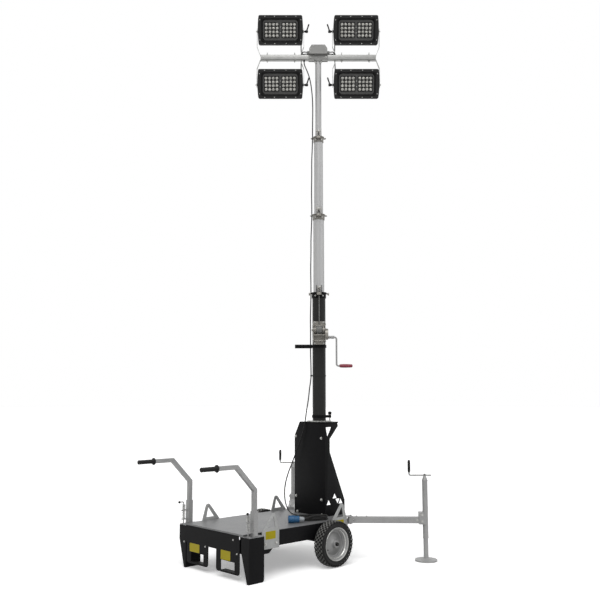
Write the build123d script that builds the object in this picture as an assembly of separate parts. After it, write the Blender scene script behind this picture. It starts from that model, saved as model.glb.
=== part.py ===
# Mobile light tower: a hand trolley with a turning telescopic mast and four floodlights.
# Millimetres, +Z up, +X from the push handles to the wheels, +Y to the trolley's left.
# The origin is on the ground, under the middle of the whole tower's box.
from build123d import *
from math import atan2, cos, degrees, hypot, pi, radians, sin, sqrt, tan
import os

# Wheels and axle
WHEEL_D = 400.0
TYRE_W = 100.0
TYRE_ROUND = 22.0
RIM_D = 290.0
RIM_EDGE = 8.0
RIM_DISH = 16.0
RIM_WEB = 8.0
HUB_D = 64.0
HUB_W = 88.0
AXLE_D = 30.0
RUNNING_FIT = 0.3

# Deck and its plates, with places along X measured from the axle
DECK_TOP = 382.0
FRONT_W = 988.0
WING_W = 84.0
DECK_W = FRONT_W - 2 * WING_W
TRACK_IN = 8.0
TRACK = FRONT_W - TRACK_IN
DECK_SHEET = 4.0
DECK_LIP = 60.0
DECK_REAR = 450.0
REAR_CHAMFER = 206.0
FRONT_FACE = -983.0
FRONT_DEPTH = 163.0
FRONT_TOP = 368.0
FRONT_PLATE = 6.0
PLATE_T = 5.0
FIT = 0.3

# Corner legs
LEG_SIDE_L = 163.0
LEG_FACE_W = 100.0
LEG_TIP_W = 24.0
LEG_TAPER_Z = 240.0
LEG_SHIFT = FRONT_W - LEG_FACE_W - PLATE_T
LEG_ROUND = 22.0

# Front apron with its two fork pockets
APRON_BOTTOM = 224.0
APRON_GAP = 33.0
APRON_CLEAR = 1.0
APRON_RIGHT = LEG_FACE_W + APRON_GAP - FRONT_W / 2
APRON_LEFT = FRONT_W / 2 - LEG_FACE_W - PLATE_T - APRON_CLEAR
TAB_IN = 57.0
TAB_OUT = APRON_LEFT - 15
TAB_BOTTOM = 50.0
TAB_ROUND = 28.0
POCKET_IN = 123.0
POCKET_POST = 65.0
POCKET_OUT = TAB_OUT - POCKET_POST
POCKET_BOTTOM = 66.0
POCKET_TOP = 147.0
POCKET_LIP = 55.0
POCKET_LIP_T = 4.0

# Side plates that carry the axle
SIDE_HIGH = 252.0
SIDE_FRONT_Z = 200.0
SIDE_FRONT_L = 120.0
SIDE_AXLE_Z = 150.0
SIDE_SLOPE = 60.0
SIDE_LOBE = 105.0
SIDE_REAR = 244.0

# Lifting eyes
EYE_T = 8.0
EYE_W = 190.0
EYE_BOTTOM = 237.0
EYE_STRIP = 27.0
EYE_INNER_W = 88.0
EYE_INNER_H = 92.0
EYE_LEAN = 16.0
EYE_BASE = 24.0
EYE_XS = (-688.0, 146.0)

# Mast stand
STAND_FRONT = 171.0
STAND_IN = 200.0
STAND_HALF = DECK_W / 2 - STAND_IN
STAND_TOP = 1258.0
STAND_CUT_W = 73.0
STAND_CUT_H = 135.0
STAND_SHEET = 5.0
STAND_TOP_X = 344.0
STAND_TOP_DROP = 40.0
STAND_NECK_X = 240.0
STAND_NECK_Z = 1100.0
STAND_NECK_H = 122.0
STAND_FOOT_X = 440.0
STAND_FOOT_Z = 517.0
STAND_TABLE_T = 10.0
STAND_TABLE_REAR = 432.0
WINDOW_W = 75.0
WINDOW_H = 92.0
WINDOW_Z = 1212.0
TRI_PITCH = 81.0
TRI_SIDE = 56.0
TRI_START = 223.0
TRI_ROWS = (104.0, 159.0)
TRI_COLUMNS = 5

# Mast
MAST_X = 307.0
MAST_TURN = 46.8
MAST_D = 131.0
MAST_WALL = 5.0
MAST_TOP = 2530.0
SECTION_DS = (109.0, 91.0, 63.0)
SECTION_WALL = 4.0
SECTION_L = 2000.0
SECTION_TOPS = (3330.0, 4144.0, 4982.0)
GROOVE_D = 7.0
GROOVES = 8
SLIDE_FIT = 0.6
COLLAR_WALL = 9.0
COLLAR_H = 62.0
EAR_H = 96.0
EAR_W = 14.0
EAR_GAP = 34.0
EAR_T = 8.0
GUIDE_R = 15.0
GUIDE_WIRE = 4.0
RING_D = 242.0
RING_T = 10.0
NOTCH_D = 12.0
NOTCHES = 24

# Index plunger, turning bar and winch
PLUNGER_R = 104.0
PLUNGER_RISE = 62.0
PLUNGER_CLAMP_H = 26.0
PLUNGER_D = 10.0
KNOB_D = 34.0
BAR_D = 38.0
BAR_REACH = 240.0
BAR_CLAMP_H = 28.0
BAR_DROP = 15.0
WINCH_Z = 2127.0
WINCH_H = 230.0
WINCH_W = 118.0
WINCH_DEPTH = 120.0
WINCH_PLATE = 4.0
DRUM_D = 52.0
DRUM_FLANGE_D = 104.0
DRUM_Z = 2150.0
GEAR_T = 26.0
GEAR_D = 150.0
CRANK_ROD_D = 17.0
CRANK_Z = 2080.0
CRANK_S = 168.0
CRANK_ARM = 280.0
CRANK_BEND = 20.0
GRIP_D = 36.0
GRIP_L = 128.0
GRIP_GAP = 18.0
ROPE_D = 7.0

# Head
CROSSBAR_L = 1200.0
CROSSBAR = 50.0
HEAD_PLATE_W = 200.0
HEAD_PLATE_H = 62.0
HEAD_PLATE_T = 6.0
JUNCTION_W = 188.0
JUNCTION_D = 110.0
JUNCTION_H = 98.0
JUNCTION_SLOPE = 26.0
JUNCTION_GLAND = 0.3
JUNCTION_GLAND_X = 22.0
GLAND_D = 26.0
GLAND_L = 24.0
BAR_GLAND = (12.0, 147.0)
BAR_GLAND_D = 20.0
BAR_GLAND_L = 10.0

# Floodlights
LAMP_S = 394.0
LAMP_RISE = 292.0
LAMP_W = 452.0
LAMP_BULGE = 10.0
LAMP_H = 296.0
LAMP_D = 84.0
LAMP_TILT = 18.0
LAMP_UP = 6.0
LAMP_FORWARD = 24.0
LAMP_RIM = 26.0
LAMP_RECESS = 10.0
LAMP_CORNER = 16.0
LAMP_FINS = 9
LAMP_FIN_D = 26.0
LAMP_FIN_T = 4.0
LAMP_FIN_H = 240.0
LAMP_FIN_EDGE = 30.0
LAMP_GLAND_Y = 216.0
LAMP_GLAND_Z = 112.0
LAMP_GLAND_D = 18.0
LAMP_GLAND_L = 16.0
BOSS_W = 28.0
YOKE_GAP = 6.0
YOKE_T = 4.0
YOKE_W = 36.0
YOKE_FOOT = 420.0
YOKE_KNEE = 95.0
PIVOT_D = 16.0
LEVER_KNOB_D = 34.0
LEVER_KNOB_L = 24.0
LEVER_L = 78.0
LEVER_D = 12.0

# Push handles
HANDLE_X = -901.0
HANDLE_IN = 35.0
HANDLE_Y = FRONT_W / 2 - HANDLE_IN
POST_D = 26.0
POST_H = 60.0
SLEEVE = 45.0
SLEEVE_TOP = 570.0
TUBE = 35.0
TUBE_WALL = 3.0
KNEE_Z = 741.0
HANDLE_Z = 938.0
KNEE_BACK = 194.0
HANDLE_REACH = 547.0
HANDLE_GRIP_L = 152.0
HANDLE_GRIP_D = 38.0
HANDLE_STUB_D = 25.0
GRIP_FLANGE_D = 62.0
GRIP_FLANGE_L = 10.0
LATCH_OUT = 64.0
LATCH_D = 10.0
LATCH_TOP = 560.0
LATCH_ARM = 46.0
LATCH_BEND = 12.0
LATCH_BALL = 22.0
LATCH_TABS = (405.0, 482.0)
LATCH_TURNS = {"left": 180.0, "right": 225.0}
TAB_T = 6.0
TAB_W = 30.0

# Stabilisers
ARM_TUBE = 55.0
ARM_WALL = 4.0
ARM_Z = 367.0
ARM_ALONG = 40.0
ARM_OFF = 45.0
ARM_REACH = 694.0
ARM_TAIL = 18.0
ARM_HOLE_D = 12.0
BRACKET_L = 72.0
BRACKET_T = 6.0
PIVOT_BOLT_D = 16.0
JACK_D = 50.0
JACK_WALL = 2.5
JACK_BOTTOM = 204.0
JACK_TOP = 732.0
JACK_CONE = 34.0
CLAMP_L = 62.0
CLAMP_W = 74.0
CLAMP_LOW = 331.0
CLAMP_HIGH = 440.0
LEG_WALL = 3.0
LEG_TOP = 450.0
PAD_D = 205.0
PAD_T = 14.0
PAD_CONE_D = 110.0
PAD_CONE_H = 16.0
CRANK_TURN = 136.8
JACK_CRANK_Z = 774.0
JACK_CRANK_L = 145.0
JACK_CRANK_TAIL = 62.0
JACK_CRANK_D = 12.0
JACK_CRANK_BEND = 14.0
JACK_GRIP_D = 26.0
JACK_GRIP_TOP = 914.0

# Supply cable and plug
CABLE_D = 11.0
LEAD_D = 9.0
GUIDE_TURN = 20.0
CABLE_CLIP_Z = 1700.0
CABLE_CLIP_H = 14.0
CABLE_CLIP_T = 2.5
COIL_X = -30.0
COIL_IN = 175.0
COIL_Y = COIL_IN - DECK_W / 2
COIL_L = 330.0
COIL_W = 190.0
COIL_H = 44.0
COIL_TURN = -25.0
PLUG_D = 66.0
PLUG_L = 100.0
PLUG_TAIL_D = 44.0
PLUG_TAIL_L = 46.0
PLUG_X = -316.0
PLUG_Y = COIL_Y + 3
PLUG_TURN = -38.0

# The tower's box in X runs from the handle grips to the jack pads
CORNER_X = DECK_REAR - REAR_CHAMFER
ARM_START_X = CORNER_X + (ARM_ALONG + ARM_OFF) * sqrt(0.5)
ARM_START_Y = DECK_W / 2 - ARM_ALONG * sqrt(0.5) + ARM_OFF * sqrt(0.5)
JACK_X = ARM_START_X + ARM_REACH * sqrt(0.5)
JACK_Y = ARM_START_Y + ARM_REACH * sqrt(0.5)
AXLE_X = -(HANDLE_X - HANDLE_REACH + JACK_X + PAD_D / 2) / 2
MAST_AXIS = AXLE_X + MAST_X
AXLE_Z = WHEEL_D / 2
LAMP_REAR = -LAMP_FORWARD + LAMP_D / 2 - LAMP_FIN_D
ARM_PIVOT = (AXLE_X + ARM_START_X, ARM_START_Y)
JACK = (AXLE_X + JACK_X, JACK_Y)
SIDES = {"left": 1.0, "right": -1.0}
BAR_CENTRE_Z = SECTION_TOPS[2] + CROSSBAR / 2
RING_TOP = STAND_TOP + RING_T
PLUNGER_Z = RING_TOP + PLUNGER_RISE
BAR_Z = WINCH_Z - WINCH_H / 2 - BAR_DROP

os.makedirs("parts", exist_ok=True)
parts = {}


def box(x0, x1, y0, y1, z0, z1):
    """A block between two corners."""
    centre = ((x0 + x1) / 2, (y0 + y1) / 2, (z0 + z1) / 2)
    return Pos(*centre) * Box(abs(x1 - x0), abs(y1 - y0), abs(z1 - z0))


def rod(start, end, diameter):
    """A round bar from one point to another."""
    a, b = Vector(*start), Vector(*end)
    return Plane(a, z_dir=b - a) * extrude(Circle(diameter / 2), (b - a).length)


def ring(outer_d, inner_d, z0, z1):
    """A tube about the Z axis."""
    return Pos(0, 0, z0) * extrude(Circle(outer_d / 2) - Circle(inner_d / 2), z1 - z0)


def bent_rod(points, bend, diameter):
    """A round bar with rounded bends."""
    path = FilletPolyline(*points, radius=bend)
    start = Vector(*points[0])
    return sweep(Plane(start, z_dir=Vector(*points[1]) - start) * Circle(diameter / 2), path)


def square_bar(points, size):
    """A square bar along straight runs with mitred corners."""
    path = Polyline(*points)
    start = Vector(*points[0])
    along = Vector(*points[1]) - start
    section = Plane(start, x_dir=(0, 1, 0), z_dir=along) * Rectangle(size, size)
    return sweep(section, path, transition=Transition.RIGHT)


def side_sheet(outline, y0, y1):
    """A flat sheet in the XZ plane between two Y places, from (x, z) corners."""
    face = make_face(Polyline(*[(x, 0, z) for x, z in outline], close=True))
    return Pos(0, min(y0, y1), 0) * extrude(face, abs(y1 - y0), dir=(0, 1, 0))


def front_sheet(outline, x0, x1):
    """A flat sheet in the YZ plane between two X places, from (y, z) corners."""
    face = make_face(Polyline(*[(0, y, z) for y, z in outline], close=True))
    return Pos(x0, 0, 0) * extrude(face, x1 - x0, dir=(1, 0, 0))


def on_mast(shape):
    """Mast pieces are drawn with the head across Y and facing -X, then turned about the mast."""
    return Pos(MAST_AXIS, 0, 0) * Rot(0, 0, MAST_TURN) * shape


def mast_point(front, across, z):
    """The place of a point given as distance in front of the mast, to its right, and height."""
    turn = radians(MAST_TURN)
    x, y = -front, -across
    return (MAST_AXIS + x * cos(turn) - y * sin(turn), x * sin(turn) + y * cos(turn), z)


def mirror_y(shape):
    return mirror(shape, about=Plane.XZ)


def both_sides(shape):
    """A piece on the trolley's right and its mirror image on the left."""
    return Compound(children=[shape, mirror_y(shape)])


def cord_tube(name, points, diameter):
    """A cord's tube: straight runs joined by arcs as large as the runs allow."""
    runs = [(Vector(*b) - Vector(*a)) for a, b in zip(points, points[1:])]
    if len(runs) == 1:
        return rod(points[0], points[1], diameter)
    radii = []
    for before, after in zip(runs, runs[1:]):
        turn = radians(before.get_angle(after))
        radii.append(0.45 * min(before.length, after.length) / tan(turn / 2))
    path = FilletPolyline(*points, radius=radii)
    tube = sweep(Plane(Vector(*points[0]), z_dir=runs[0]) * Circle(diameter / 2), path)
    expected = pi * diameter ** 2 / 4 * path.length
    print(f"{name}: length {path.length:.0f}, volume ratio {tube.volume / expected:.4f},",
          f"radii {min(radii):.0f} to {max(radii):.0f}")
    return tube


# Wheels

def tyre():
    section = RectangleRounded(WHEEL_D / 2 - RIM_D / 2 + TYRE_ROUND, TYRE_W, TYRE_ROUND)
    middle = (WHEEL_D / 2 + RIM_D / 2 - TYRE_ROUND) / 2
    body = revolve(Plane.XY * Pos(middle, 0) * section, Axis.Y)
    return body - Rot(90, 0, 0) * Cylinder(RIM_D / 2, TYRE_W + 2)


def rim():
    outer = RIM_D / 2 - FIT
    half = TYRE_W / 2 - RIM_EDGE
    barrel = [(outer - RIM_EDGE, -half), (outer, -half), (outer, half), (outer - RIM_EDGE, half)]
    body = revolve(make_face(Polyline(*barrel, close=True)), Axis.Y)
    step = outer - RIM_EDGE
    web_face = half - RIM_DISH
    bore = AXLE_D / 2 + RUNNING_FIT
    disc = [(bore, web_face - RIM_WEB), (step, web_face - RIM_WEB), (step, web_face), (bore, web_face)]
    web = revolve(make_face(Polyline(*disc, close=True)), Axis.Y)
    hub = Rot(90, 0, 0) * (Cylinder(HUB_D / 2, HUB_W) - Cylinder(bore, HUB_W + 2))
    return body + web + hub


for side, sign in SIDES.items():
    place = Pos(AXLE_X, sign * TRACK / 2, AXLE_Z)
    turn = Rot(0, 0, 0 if sign > 0 else 180)
    parts[f"tyre_{side}"] = place * tyre()
    parts[f"rim_{side}"] = place * turn * rim()

AXLE_END = TRACK / 2 + TYRE_W / 2 - 6
parts["axle"] = rod((AXLE_X, -AXLE_END, AXLE_Z), (AXLE_X, AXLE_END, AXLE_Z), AXLE_D)


# Trolley

def deck():
    half = DECK_W / 2
    front = AXLE_X + FRONT_FACE + PLATE_T + FIT
    rear = AXLE_X + DECK_REAR
    corner = half - REAR_CHAMFER
    outline = [(front, -half), (rear - REAR_CHAMFER, -half), (rear, -corner),
               (rear, corner), (rear - REAR_CHAMFER, half), (front, half)]
    plan = make_face(Polyline(*outline, close=True))
    pan = Pos(0, 0, DECK_TOP - DECK_LIP) * extrude(plan, DECK_LIP)
    inner = offset(plan, -DECK_SHEET, kind=Kind.INTERSECTION)
    pan -= Pos(0, 0, DECK_TOP - DECK_LIP) * extrude(inner, DECK_LIP - DECK_SHEET)
    under = AXLE_X + FRONT_FACE + FRONT_DEPTH
    pan -= box(front - 1, under, -half - 1, half + 1, 0, FRONT_TOP)
    wing = box(front, under, -FRONT_W / 2, FRONT_W / 2, FRONT_TOP - FRONT_PLATE, FRONT_TOP)
    for sign in (1, -1):
        foot = (AXLE_X + HANDLE_X, sign * HANDLE_Y)
        wing += rod((*foot, FRONT_TOP - FRONT_PLATE), (*foot, FRONT_TOP + POST_H), POST_D)
    return pan + wing


def corner_leg():
    """The right leg: a bent sheet whose front face tapers towards its foot."""
    x0 = AXLE_X + FRONT_FACE
    y0 = -FRONT_W / 2
    under = FRONT_TOP - FRONT_PLATE - FIT
    face = [(y0, 0), (y0 + LEG_TIP_W, 0), (y0 + LEG_FACE_W, LEG_TAPER_Z), (y0 + LEG_FACE_W, under), (y0, under)]
    leg = front_sheet(face, x0, x0 + PLATE_T)
    flange = Rectangle(LEG_SIDE_L, under, align=(Align.MIN, Align.MIN))
    flange = fillet(flange.vertices().sort_by(Axis.Y)[:2].sort_by(Axis.X)[-1], LEG_ROUND)
    side = Plane(origin=(x0, y0 + PLATE_T, 0), x_dir=(1, 0, 0), z_dir=(0, -1, 0))
    return leg + extrude(side * flange, PLATE_T)


def apron():
    """Flat strips welded round the two fork pockets, with a lip above and below each pocket."""
    x0, x1 = AXLE_X + FRONT_FACE, AXLE_X + FRONT_FACE + PLATE_T
    strips = [box(x0, x1, APRON_RIGHT, APRON_LEFT, APRON_BOTTOM, FRONT_TOP)]
    tab_side = Plane(origin=(x0, 0, 0), x_dir=(0, 1, 0), z_dir=(1, 0, 0))
    for sign in (1, -1):
        middle = sign * (TAB_IN + TAB_OUT) / 2
        outline = RectangleRounded(TAB_OUT - TAB_IN, FRONT_TOP - TAB_BOTTOM, TAB_ROUND)
        tab = extrude(tab_side * Pos(middle, (TAB_BOTTOM + FRONT_TOP) / 2) * outline, PLATE_T)
        cuts = [(TAB_IN, TAB_OUT, POCKET_TOP, APRON_BOTTOM), (TAB_IN, TAB_OUT, TAB_BOTTOM, POCKET_BOTTOM),
                (TAB_IN, POCKET_IN, POCKET_BOTTOM, POCKET_TOP), (POCKET_OUT, TAB_OUT, POCKET_BOTTOM, POCKET_TOP)]
        edge = APRON_LEFT if sign > 0 else -APRON_RIGHT
        if TAB_OUT > edge:
            cuts.append((edge, TAB_OUT, APRON_BOTTOM, FRONT_TOP - TAB_ROUND))
        for near, far, low, high in cuts:
            strips.append((tab & box(x0, x1, sign * near, sign * far, low, high)).solid())
        for low in (POCKET_BOTTOM - POCKET_LIP_T, POCKET_TOP):
            strips.append(box(x1, x0 + POCKET_LIP, sign * POCKET_IN, sign * POCKET_OUT, low, low + POCKET_LIP_T))
    return Compound(children=strips)


def side_plate():
    """The right side plate, hung under the deck, with lobes for the front end and the axle."""
    x0 = AXLE_X + FRONT_FACE + FRONT_DEPTH + FIT
    top = DECK_TOP - DECK_SHEET
    lobe = x0 + SIDE_FRONT_L
    outline = [(x0, top), (x0, SIDE_FRONT_Z), (lobe, SIDE_FRONT_Z), (lobe + SIDE_SLOPE, SIDE_HIGH),
               (AXLE_X - SIDE_LOBE - SIDE_SLOPE, SIDE_HIGH), (AXLE_X - SIDE_LOBE, SIDE_AXLE_Z),
               (AXLE_X + SIDE_LOBE, SIDE_AXLE_Z), (AXLE_X + SIDE_LOBE + SIDE_SLOPE, SIDE_HIGH),
               (AXLE_X + SIDE_REAR, SIDE_HIGH), (AXLE_X + SIDE_REAR, top)]
    outer = -DECK_W / 2 - FIT
    plate = side_sheet(outline, outer - PLATE_T, outer)
    return plate - rod((AXLE_X, -DECK_W, AXLE_Z), (AXLE_X, DECK_W, AXLE_Z), AXLE_D + 2 * FIT)


def lifting_eye(x, sign):
    """One lifting eye: a bolted plate with a leaning triangular loop on top."""
    base = DECK_TOP + EYE_BASE
    lean = -sign * EYE_LEAN
    loop = make_face(Polyline((x - EYE_INNER_W / 2 + lean / 2, 0, base), (x + EYE_INNER_W / 2 + lean / 2, 0, base),
                              (x + 2 * lean, 0, base + EYE_INNER_H), close=True))
    outer = offset(loop, EYE_STRIP, kind=Kind.ARC)
    face = outer + make_face(Polyline((x - EYE_W / 2, 0, EYE_BOTTOM), (x + EYE_W / 2, 0, EYE_BOTTOM),
                                      (x + EYE_W / 2, 0, DECK_TOP), (x - EYE_W / 2, 0, DECK_TOP), close=True))
    sheet = extrude(face - loop, EYE_T, dir=(0, 1, 0))
    seat = DECK_W / 2 + PLATE_T + 2 * FIT
    return Pos(0, seat if sign > 0 else -seat - EYE_T, 0) * sheet


parts["deck"] = deck()
right_leg = corner_leg()
parts["corner_legs"] = Compound(children=[right_leg, Pos(0, LEG_SHIFT, 0) * right_leg])
parts["apron"] = apron()
parts["side_plates"] = both_sides(side_plate())
eyes = [lifting_eye(AXLE_X + x, sign) for x in EYE_XS for sign in (1, -1)]
parts["lifting_eyes"] = Compound(children=eyes)


# Mast stand

def triangle(x, z, side, up):
    """A small equilateral opening, point up or point down, given the middle of its base."""
    height = side * sqrt(0.75) * (1 if up else -1)
    return [(x - side / 2, z), (x + side / 2, z), (x, z + height)]


def stand_side(sign):
    top = STAND_TOP if sign < 0 else STAND_TOP - STAND_CUT_H
    ax = AXLE_X
    outline = [(ax + STAND_FRONT, DECK_TOP), (ax + STAND_FOOT_X, DECK_TOP), (ax + STAND_FOOT_X, STAND_FOOT_Z),
               (ax + STAND_NECK_X, STAND_NECK_Z - STAND_NECK_H), (ax + STAND_NECK_X, STAND_NECK_Z)]
    if sign < 0:
        outline += [(ax + STAND_TOP_X + 8, STAND_TOP - STAND_TOP_DROP), (ax + STAND_TOP_X, STAND_TOP)]
    else:
        outline += [(ax + STAND_NECK_X, top)]
    outline += [(ax + STAND_FRONT, top)]
    outer = sign * STAND_HALF
    sheet = side_sheet(outline, outer, outer - sign * STAND_SHEET)
    for row, rise in enumerate(TRI_ROWS):
        for step in range(TRI_COLUMNS - 2 * row):
            x = ax + TRI_START + (step + row) * TRI_PITCH / 2
            up = step % 2 == row % 2
            z = DECK_TOP + rise + (0 if up else TRI_SIDE * sqrt(0.75))
            sheet -= side_sheet(triangle(x, z, TRI_SIDE, up), outer + sign, outer - sign * (STAND_SHEET + 1))
    if sign < 0:
        left = ax + STAND_FRONT + 16
        window = [(left, WINDOW_Z), (left + WINDOW_W, WINDOW_Z), (left + WINDOW_W * 0.27, WINDOW_Z - WINDOW_H)]
        sheet -= side_sheet(window, outer - 1, outer + STAND_SHEET + 1)
    return sheet


def mast_stand():
    x0 = AXLE_X + STAND_FRONT
    half = STAND_HALF
    face = [(-half, DECK_TOP), (half, DECK_TOP), (half, STAND_TOP - STAND_CUT_H),
            (half - STAND_CUT_W, STAND_TOP), (-half, STAND_TOP)]
    stand = front_sheet(face, x0, x0 + STAND_SHEET) + stand_side(1) + stand_side(-1)
    under = STAND_TOP - STAND_TABLE_T
    table = box(x0, AXLE_X + STAND_TABLE_REAR, -half, half - STAND_CUT_W, under, STAND_TOP)
    table -= Pos(MAST_AXIS, 0, 0) * Cylinder(MAST_D / 2 + 1, 3 * STAND_TOP)
    return stand + table


def index_ring():
    body = ring(RING_D, MAST_D + 2, STAND_TOP, STAND_TOP + RING_T)
    for k in range(NOTCHES):
        angle = 2 * pi * k / NOTCHES
        notch = Cylinder(NOTCH_D / 2, 4 * RING_T)
        body -= Pos(RING_D / 2 * cos(angle), RING_D / 2 * sin(angle), STAND_TOP) * notch
    return Pos(MAST_AXIS, 0, 0) * body


parts["mast_stand"] = mast_stand()
parts["index_ring"] = index_ring()


# Mast tubes and collars

def section_tube(outer_d, top, length):
    """A tube with shallow grooves along it."""
    profile = Circle(outer_d / 2) - Circle(outer_d / 2 - SECTION_WALL)
    for k in range(GROOVES):
        angle = 2 * pi * (k + 0.5) / GROOVES
        reach = outer_d / 2 + GROOVE_D / 4
        profile -= Pos(reach * cos(angle), reach * sin(angle)) * Circle(GROOVE_D / 2)
    return Pos(0, 0, top - length) * extrude(profile, length)


def collar(tube_d, inner_d, top):
    """A collar at a tube's top, with a pulley fork above it and a cable guide on each side."""
    outer = tube_d + 2 * COLLAR_WALL
    body = ring(outer, tube_d + 2 * FIT, top - COLLAR_H, top)
    body += ring(outer, inner_d, top, top + COLLAR_WALL)
    for sign in (1, -1):
        side = sign * (inner_d / 2 + EAR_W / 2 + SLIDE_FIT)
        low, high = sorted((side - EAR_W / 2, side + EAR_W / 2))
        body += box(-EAR_GAP / 2, EAR_GAP / 2, low, high, top, top + EAR_H)
        hoop = Pos(0, sign * (tube_d / 2 + GUIDE_R + GUIDE_WIRE), top) * Torus(GUIDE_R, GUIDE_WIRE)
        hoop -= Pos(0, 0, top) * Cylinder(tube_d / 2 + 1, 40)
        body += Rot(0, 0, -sign * GUIDE_TURN) * hoop
    return body


parts["mast_tube"] = on_mast(ring(MAST_D, MAST_D - 2 * MAST_WALL, DECK_TOP + FIT, MAST_TOP))
tube_ds = (MAST_D,) + SECTION_DS
tube_tops = (MAST_TOP,) + SECTION_TOPS
for number in range(3):
    gap = SECTION_DS[number] + 2 * SLIDE_FIT
    parts[f"collar_{number}"] = on_mast(collar(tube_ds[number], gap, tube_tops[number]))
    tube = section_tube(SECTION_DS[number], SECTION_TOPS[number], SECTION_L)
    parts[f"section_{number + 1}"] = on_mast(tube)


# Pieces on the mast tube

def winch():
    """Two side plates on a back plate, with the rope drum and the gear cover."""
    front = MAST_D / 2 + FIT
    low, high = WINCH_Z - WINCH_H / 2, WINCH_Z + WINCH_H / 2
    half = WINCH_W / 2
    body = box(-front - WINCH_PLATE, -front, -half, half, low, high)
    for sign in (1, -1):
        inner, outer = sign * (half - WINCH_PLATE), sign * half
        cheek = [(-front, low), (-front, high), (-front - WINCH_DEPTH * 0.6, high),
                 (-front - WINCH_DEPTH, high - 50), (-front - WINCH_DEPTH, low + 30), (-front - WINCH_DEPTH * 0.7, low)]
        body += side_sheet(cheek, inner, outer)
    drum_x = -front - WINCH_DEPTH / 2
    body += rod((drum_x, -half, DRUM_Z), (drum_x, half, DRUM_Z), DRUM_D)
    for side in (-half + 16, half - 20):
        body += rod((drum_x, side, DRUM_Z), (drum_x, side + WINCH_PLATE, DRUM_Z), DRUM_FLANGE_D)
    body += rod((drum_x, -half - GEAR_T, WINCH_Z - 18), (drum_x, -half, WINCH_Z - 18), GEAR_D * 0.72)
    return body


def winch_crank():
    """A bent round bar with a grip, on the winch's right."""
    x = -MAST_D / 2 - WINCH_DEPTH / 2
    start = -WINCH_W / 2 - GEAR_T - FIT
    tip = CRANK_Z - CRANK_ARM
    grip_from = -CRANK_S - CRANK_BEND - GRIP_GAP / 2
    points = [(x, start, CRANK_Z), (x, -CRANK_S, CRANK_Z), (x, -CRANK_S, tip), (x, grip_from - GRIP_GAP / 2, tip)]
    body = bent_rod(points, CRANK_BEND, CRANK_ROD_D)
    return body + rod((x, grip_from, tip), (x, grip_from - GRIP_L, tip), GRIP_D)


def turning_bar():
    """A round bar at the mast's left, to turn it by hand."""
    clamp = ring(MAST_D + 16, MAST_D + 2 * FIT, BAR_Z - BAR_CLAMP_H / 2, BAR_Z + BAR_CLAMP_H / 2)
    bar = rod((0, MAST_D / 2 + 4, BAR_Z), (0, BAR_REACH, BAR_Z), BAR_D)
    return clamp + bar - Pos(0, 0, BAR_Z) * Cylinder(MAST_D / 2 + FIT, 3 * BAR_CLAMP_H)


def index_plunger():
    """A clamp on the mast with a pull pin over the index ring."""
    low = PLUNGER_Z - 34
    clamp = ring(MAST_D + 14, MAST_D + 2 * FIT, low, low + PLUNGER_CLAMP_H)
    arm = box(-14, 14, -PLUNGER_R - 14, -MAST_D / 2 - 4, low, low + PLUNGER_CLAMP_H)
    pin = rod((0, -PLUNGER_R, RING_TOP + 2), (0, -PLUNGER_R, PLUNGER_Z), PLUNGER_D)
    knob = rod((0, -PLUNGER_R, PLUNGER_Z - 4), (0, -PLUNGER_R, PLUNGER_Z + 14), KNOB_D)
    return clamp + arm + pin + knob - Pos(0, 0, low) * Cylinder(MAST_D / 2 + FIT, 3 * PLUNGER_CLAMP_H)


rope_front = MAST_D / 2 + WINCH_DEPTH / 2 - DRUM_D / 2 - ROPE_D / 2
rope_low = (-rope_front, 0, DRUM_Z)
parts["winch"] = on_mast(winch())
parts["winch_crank"] = on_mast(winch_crank())
parts["turning_bar"] = on_mast(turning_bar())
parts["index_plunger"] = on_mast(index_plunger())
rope_top = (-MAST_D / 2 - COLLAR_WALL - FIT - ROPE_D / 2, 0, MAST_TOP - COLLAR_H / 2)
parts["wire_rope"] = on_mast(rod(rope_low, rope_top, ROPE_D))


# Head

def crossbar():
    """The square bar with the two plates that clamp it to the top mast section."""
    low, high = SECTION_TOPS[2], SECTION_TOPS[2] + CROSSBAR
    half = CROSSBAR / 2
    bar = box(-half, half, -CROSSBAR_L / 2, CROSSBAR_L / 2, low, high)
    bar -= box(-half + 4, half - 4, -CROSSBAR_L, CROSSBAR_L, low + 4, high - 4)
    for sign in (1, -1):
        face = sign * half
        plate = box(face, face + sign * HEAD_PLATE_T, -HEAD_PLATE_W / 2, HEAD_PLATE_W / 2, low - HEAD_PLATE_H, high)
        bar += plate
    seat = SECTION_DS[2]
    bar += box(-half, half, -HEAD_PLATE_W / 2, HEAD_PLATE_W / 2, low - HEAD_PLATE_H, low)
    bar += rod((*BAR_GLAND, low - BAR_GLAND_L), (*BAR_GLAND, low + 4), BAR_GLAND_D)
    return bar - Pos(0, 0, low - HEAD_PLATE_H) * Cylinder(seat / 2 + FIT, 2 * HEAD_PLATE_H)


def junction_box():
    low = BAR_CENTRE_Z + CROSSBAR / 2 + FIT
    half = JUNCTION_W / 2
    face = [(-half, low), (half, low), (half, low + JUNCTION_H * 0.6), (half - JUNCTION_SLOPE, low + JUNCTION_H),
            (-half + JUNCTION_SLOPE, low + JUNCTION_H), (-half, low + JUNCTION_H * 0.6)]
    body = front_sheet(face, -JUNCTION_D / 2, JUNCTION_D / 2)
    for sign in (1, -1):
        for x in (-JUNCTION_GLAND_X, JUNCTION_GLAND_X):
            z = low + JUNCTION_H * JUNCTION_GLAND
            body += rod((x, sign * half, z), (x, sign * (half + GLAND_L), z), GLAND_D)
    return body


def lamp_place(column, row):
    """Turns lamp coordinates (facing -X, pivot at the origin) into mast coordinates."""
    return Pos(0, column * LAMP_S, BAR_CENTRE_Z + row * LAMP_RISE)


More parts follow.
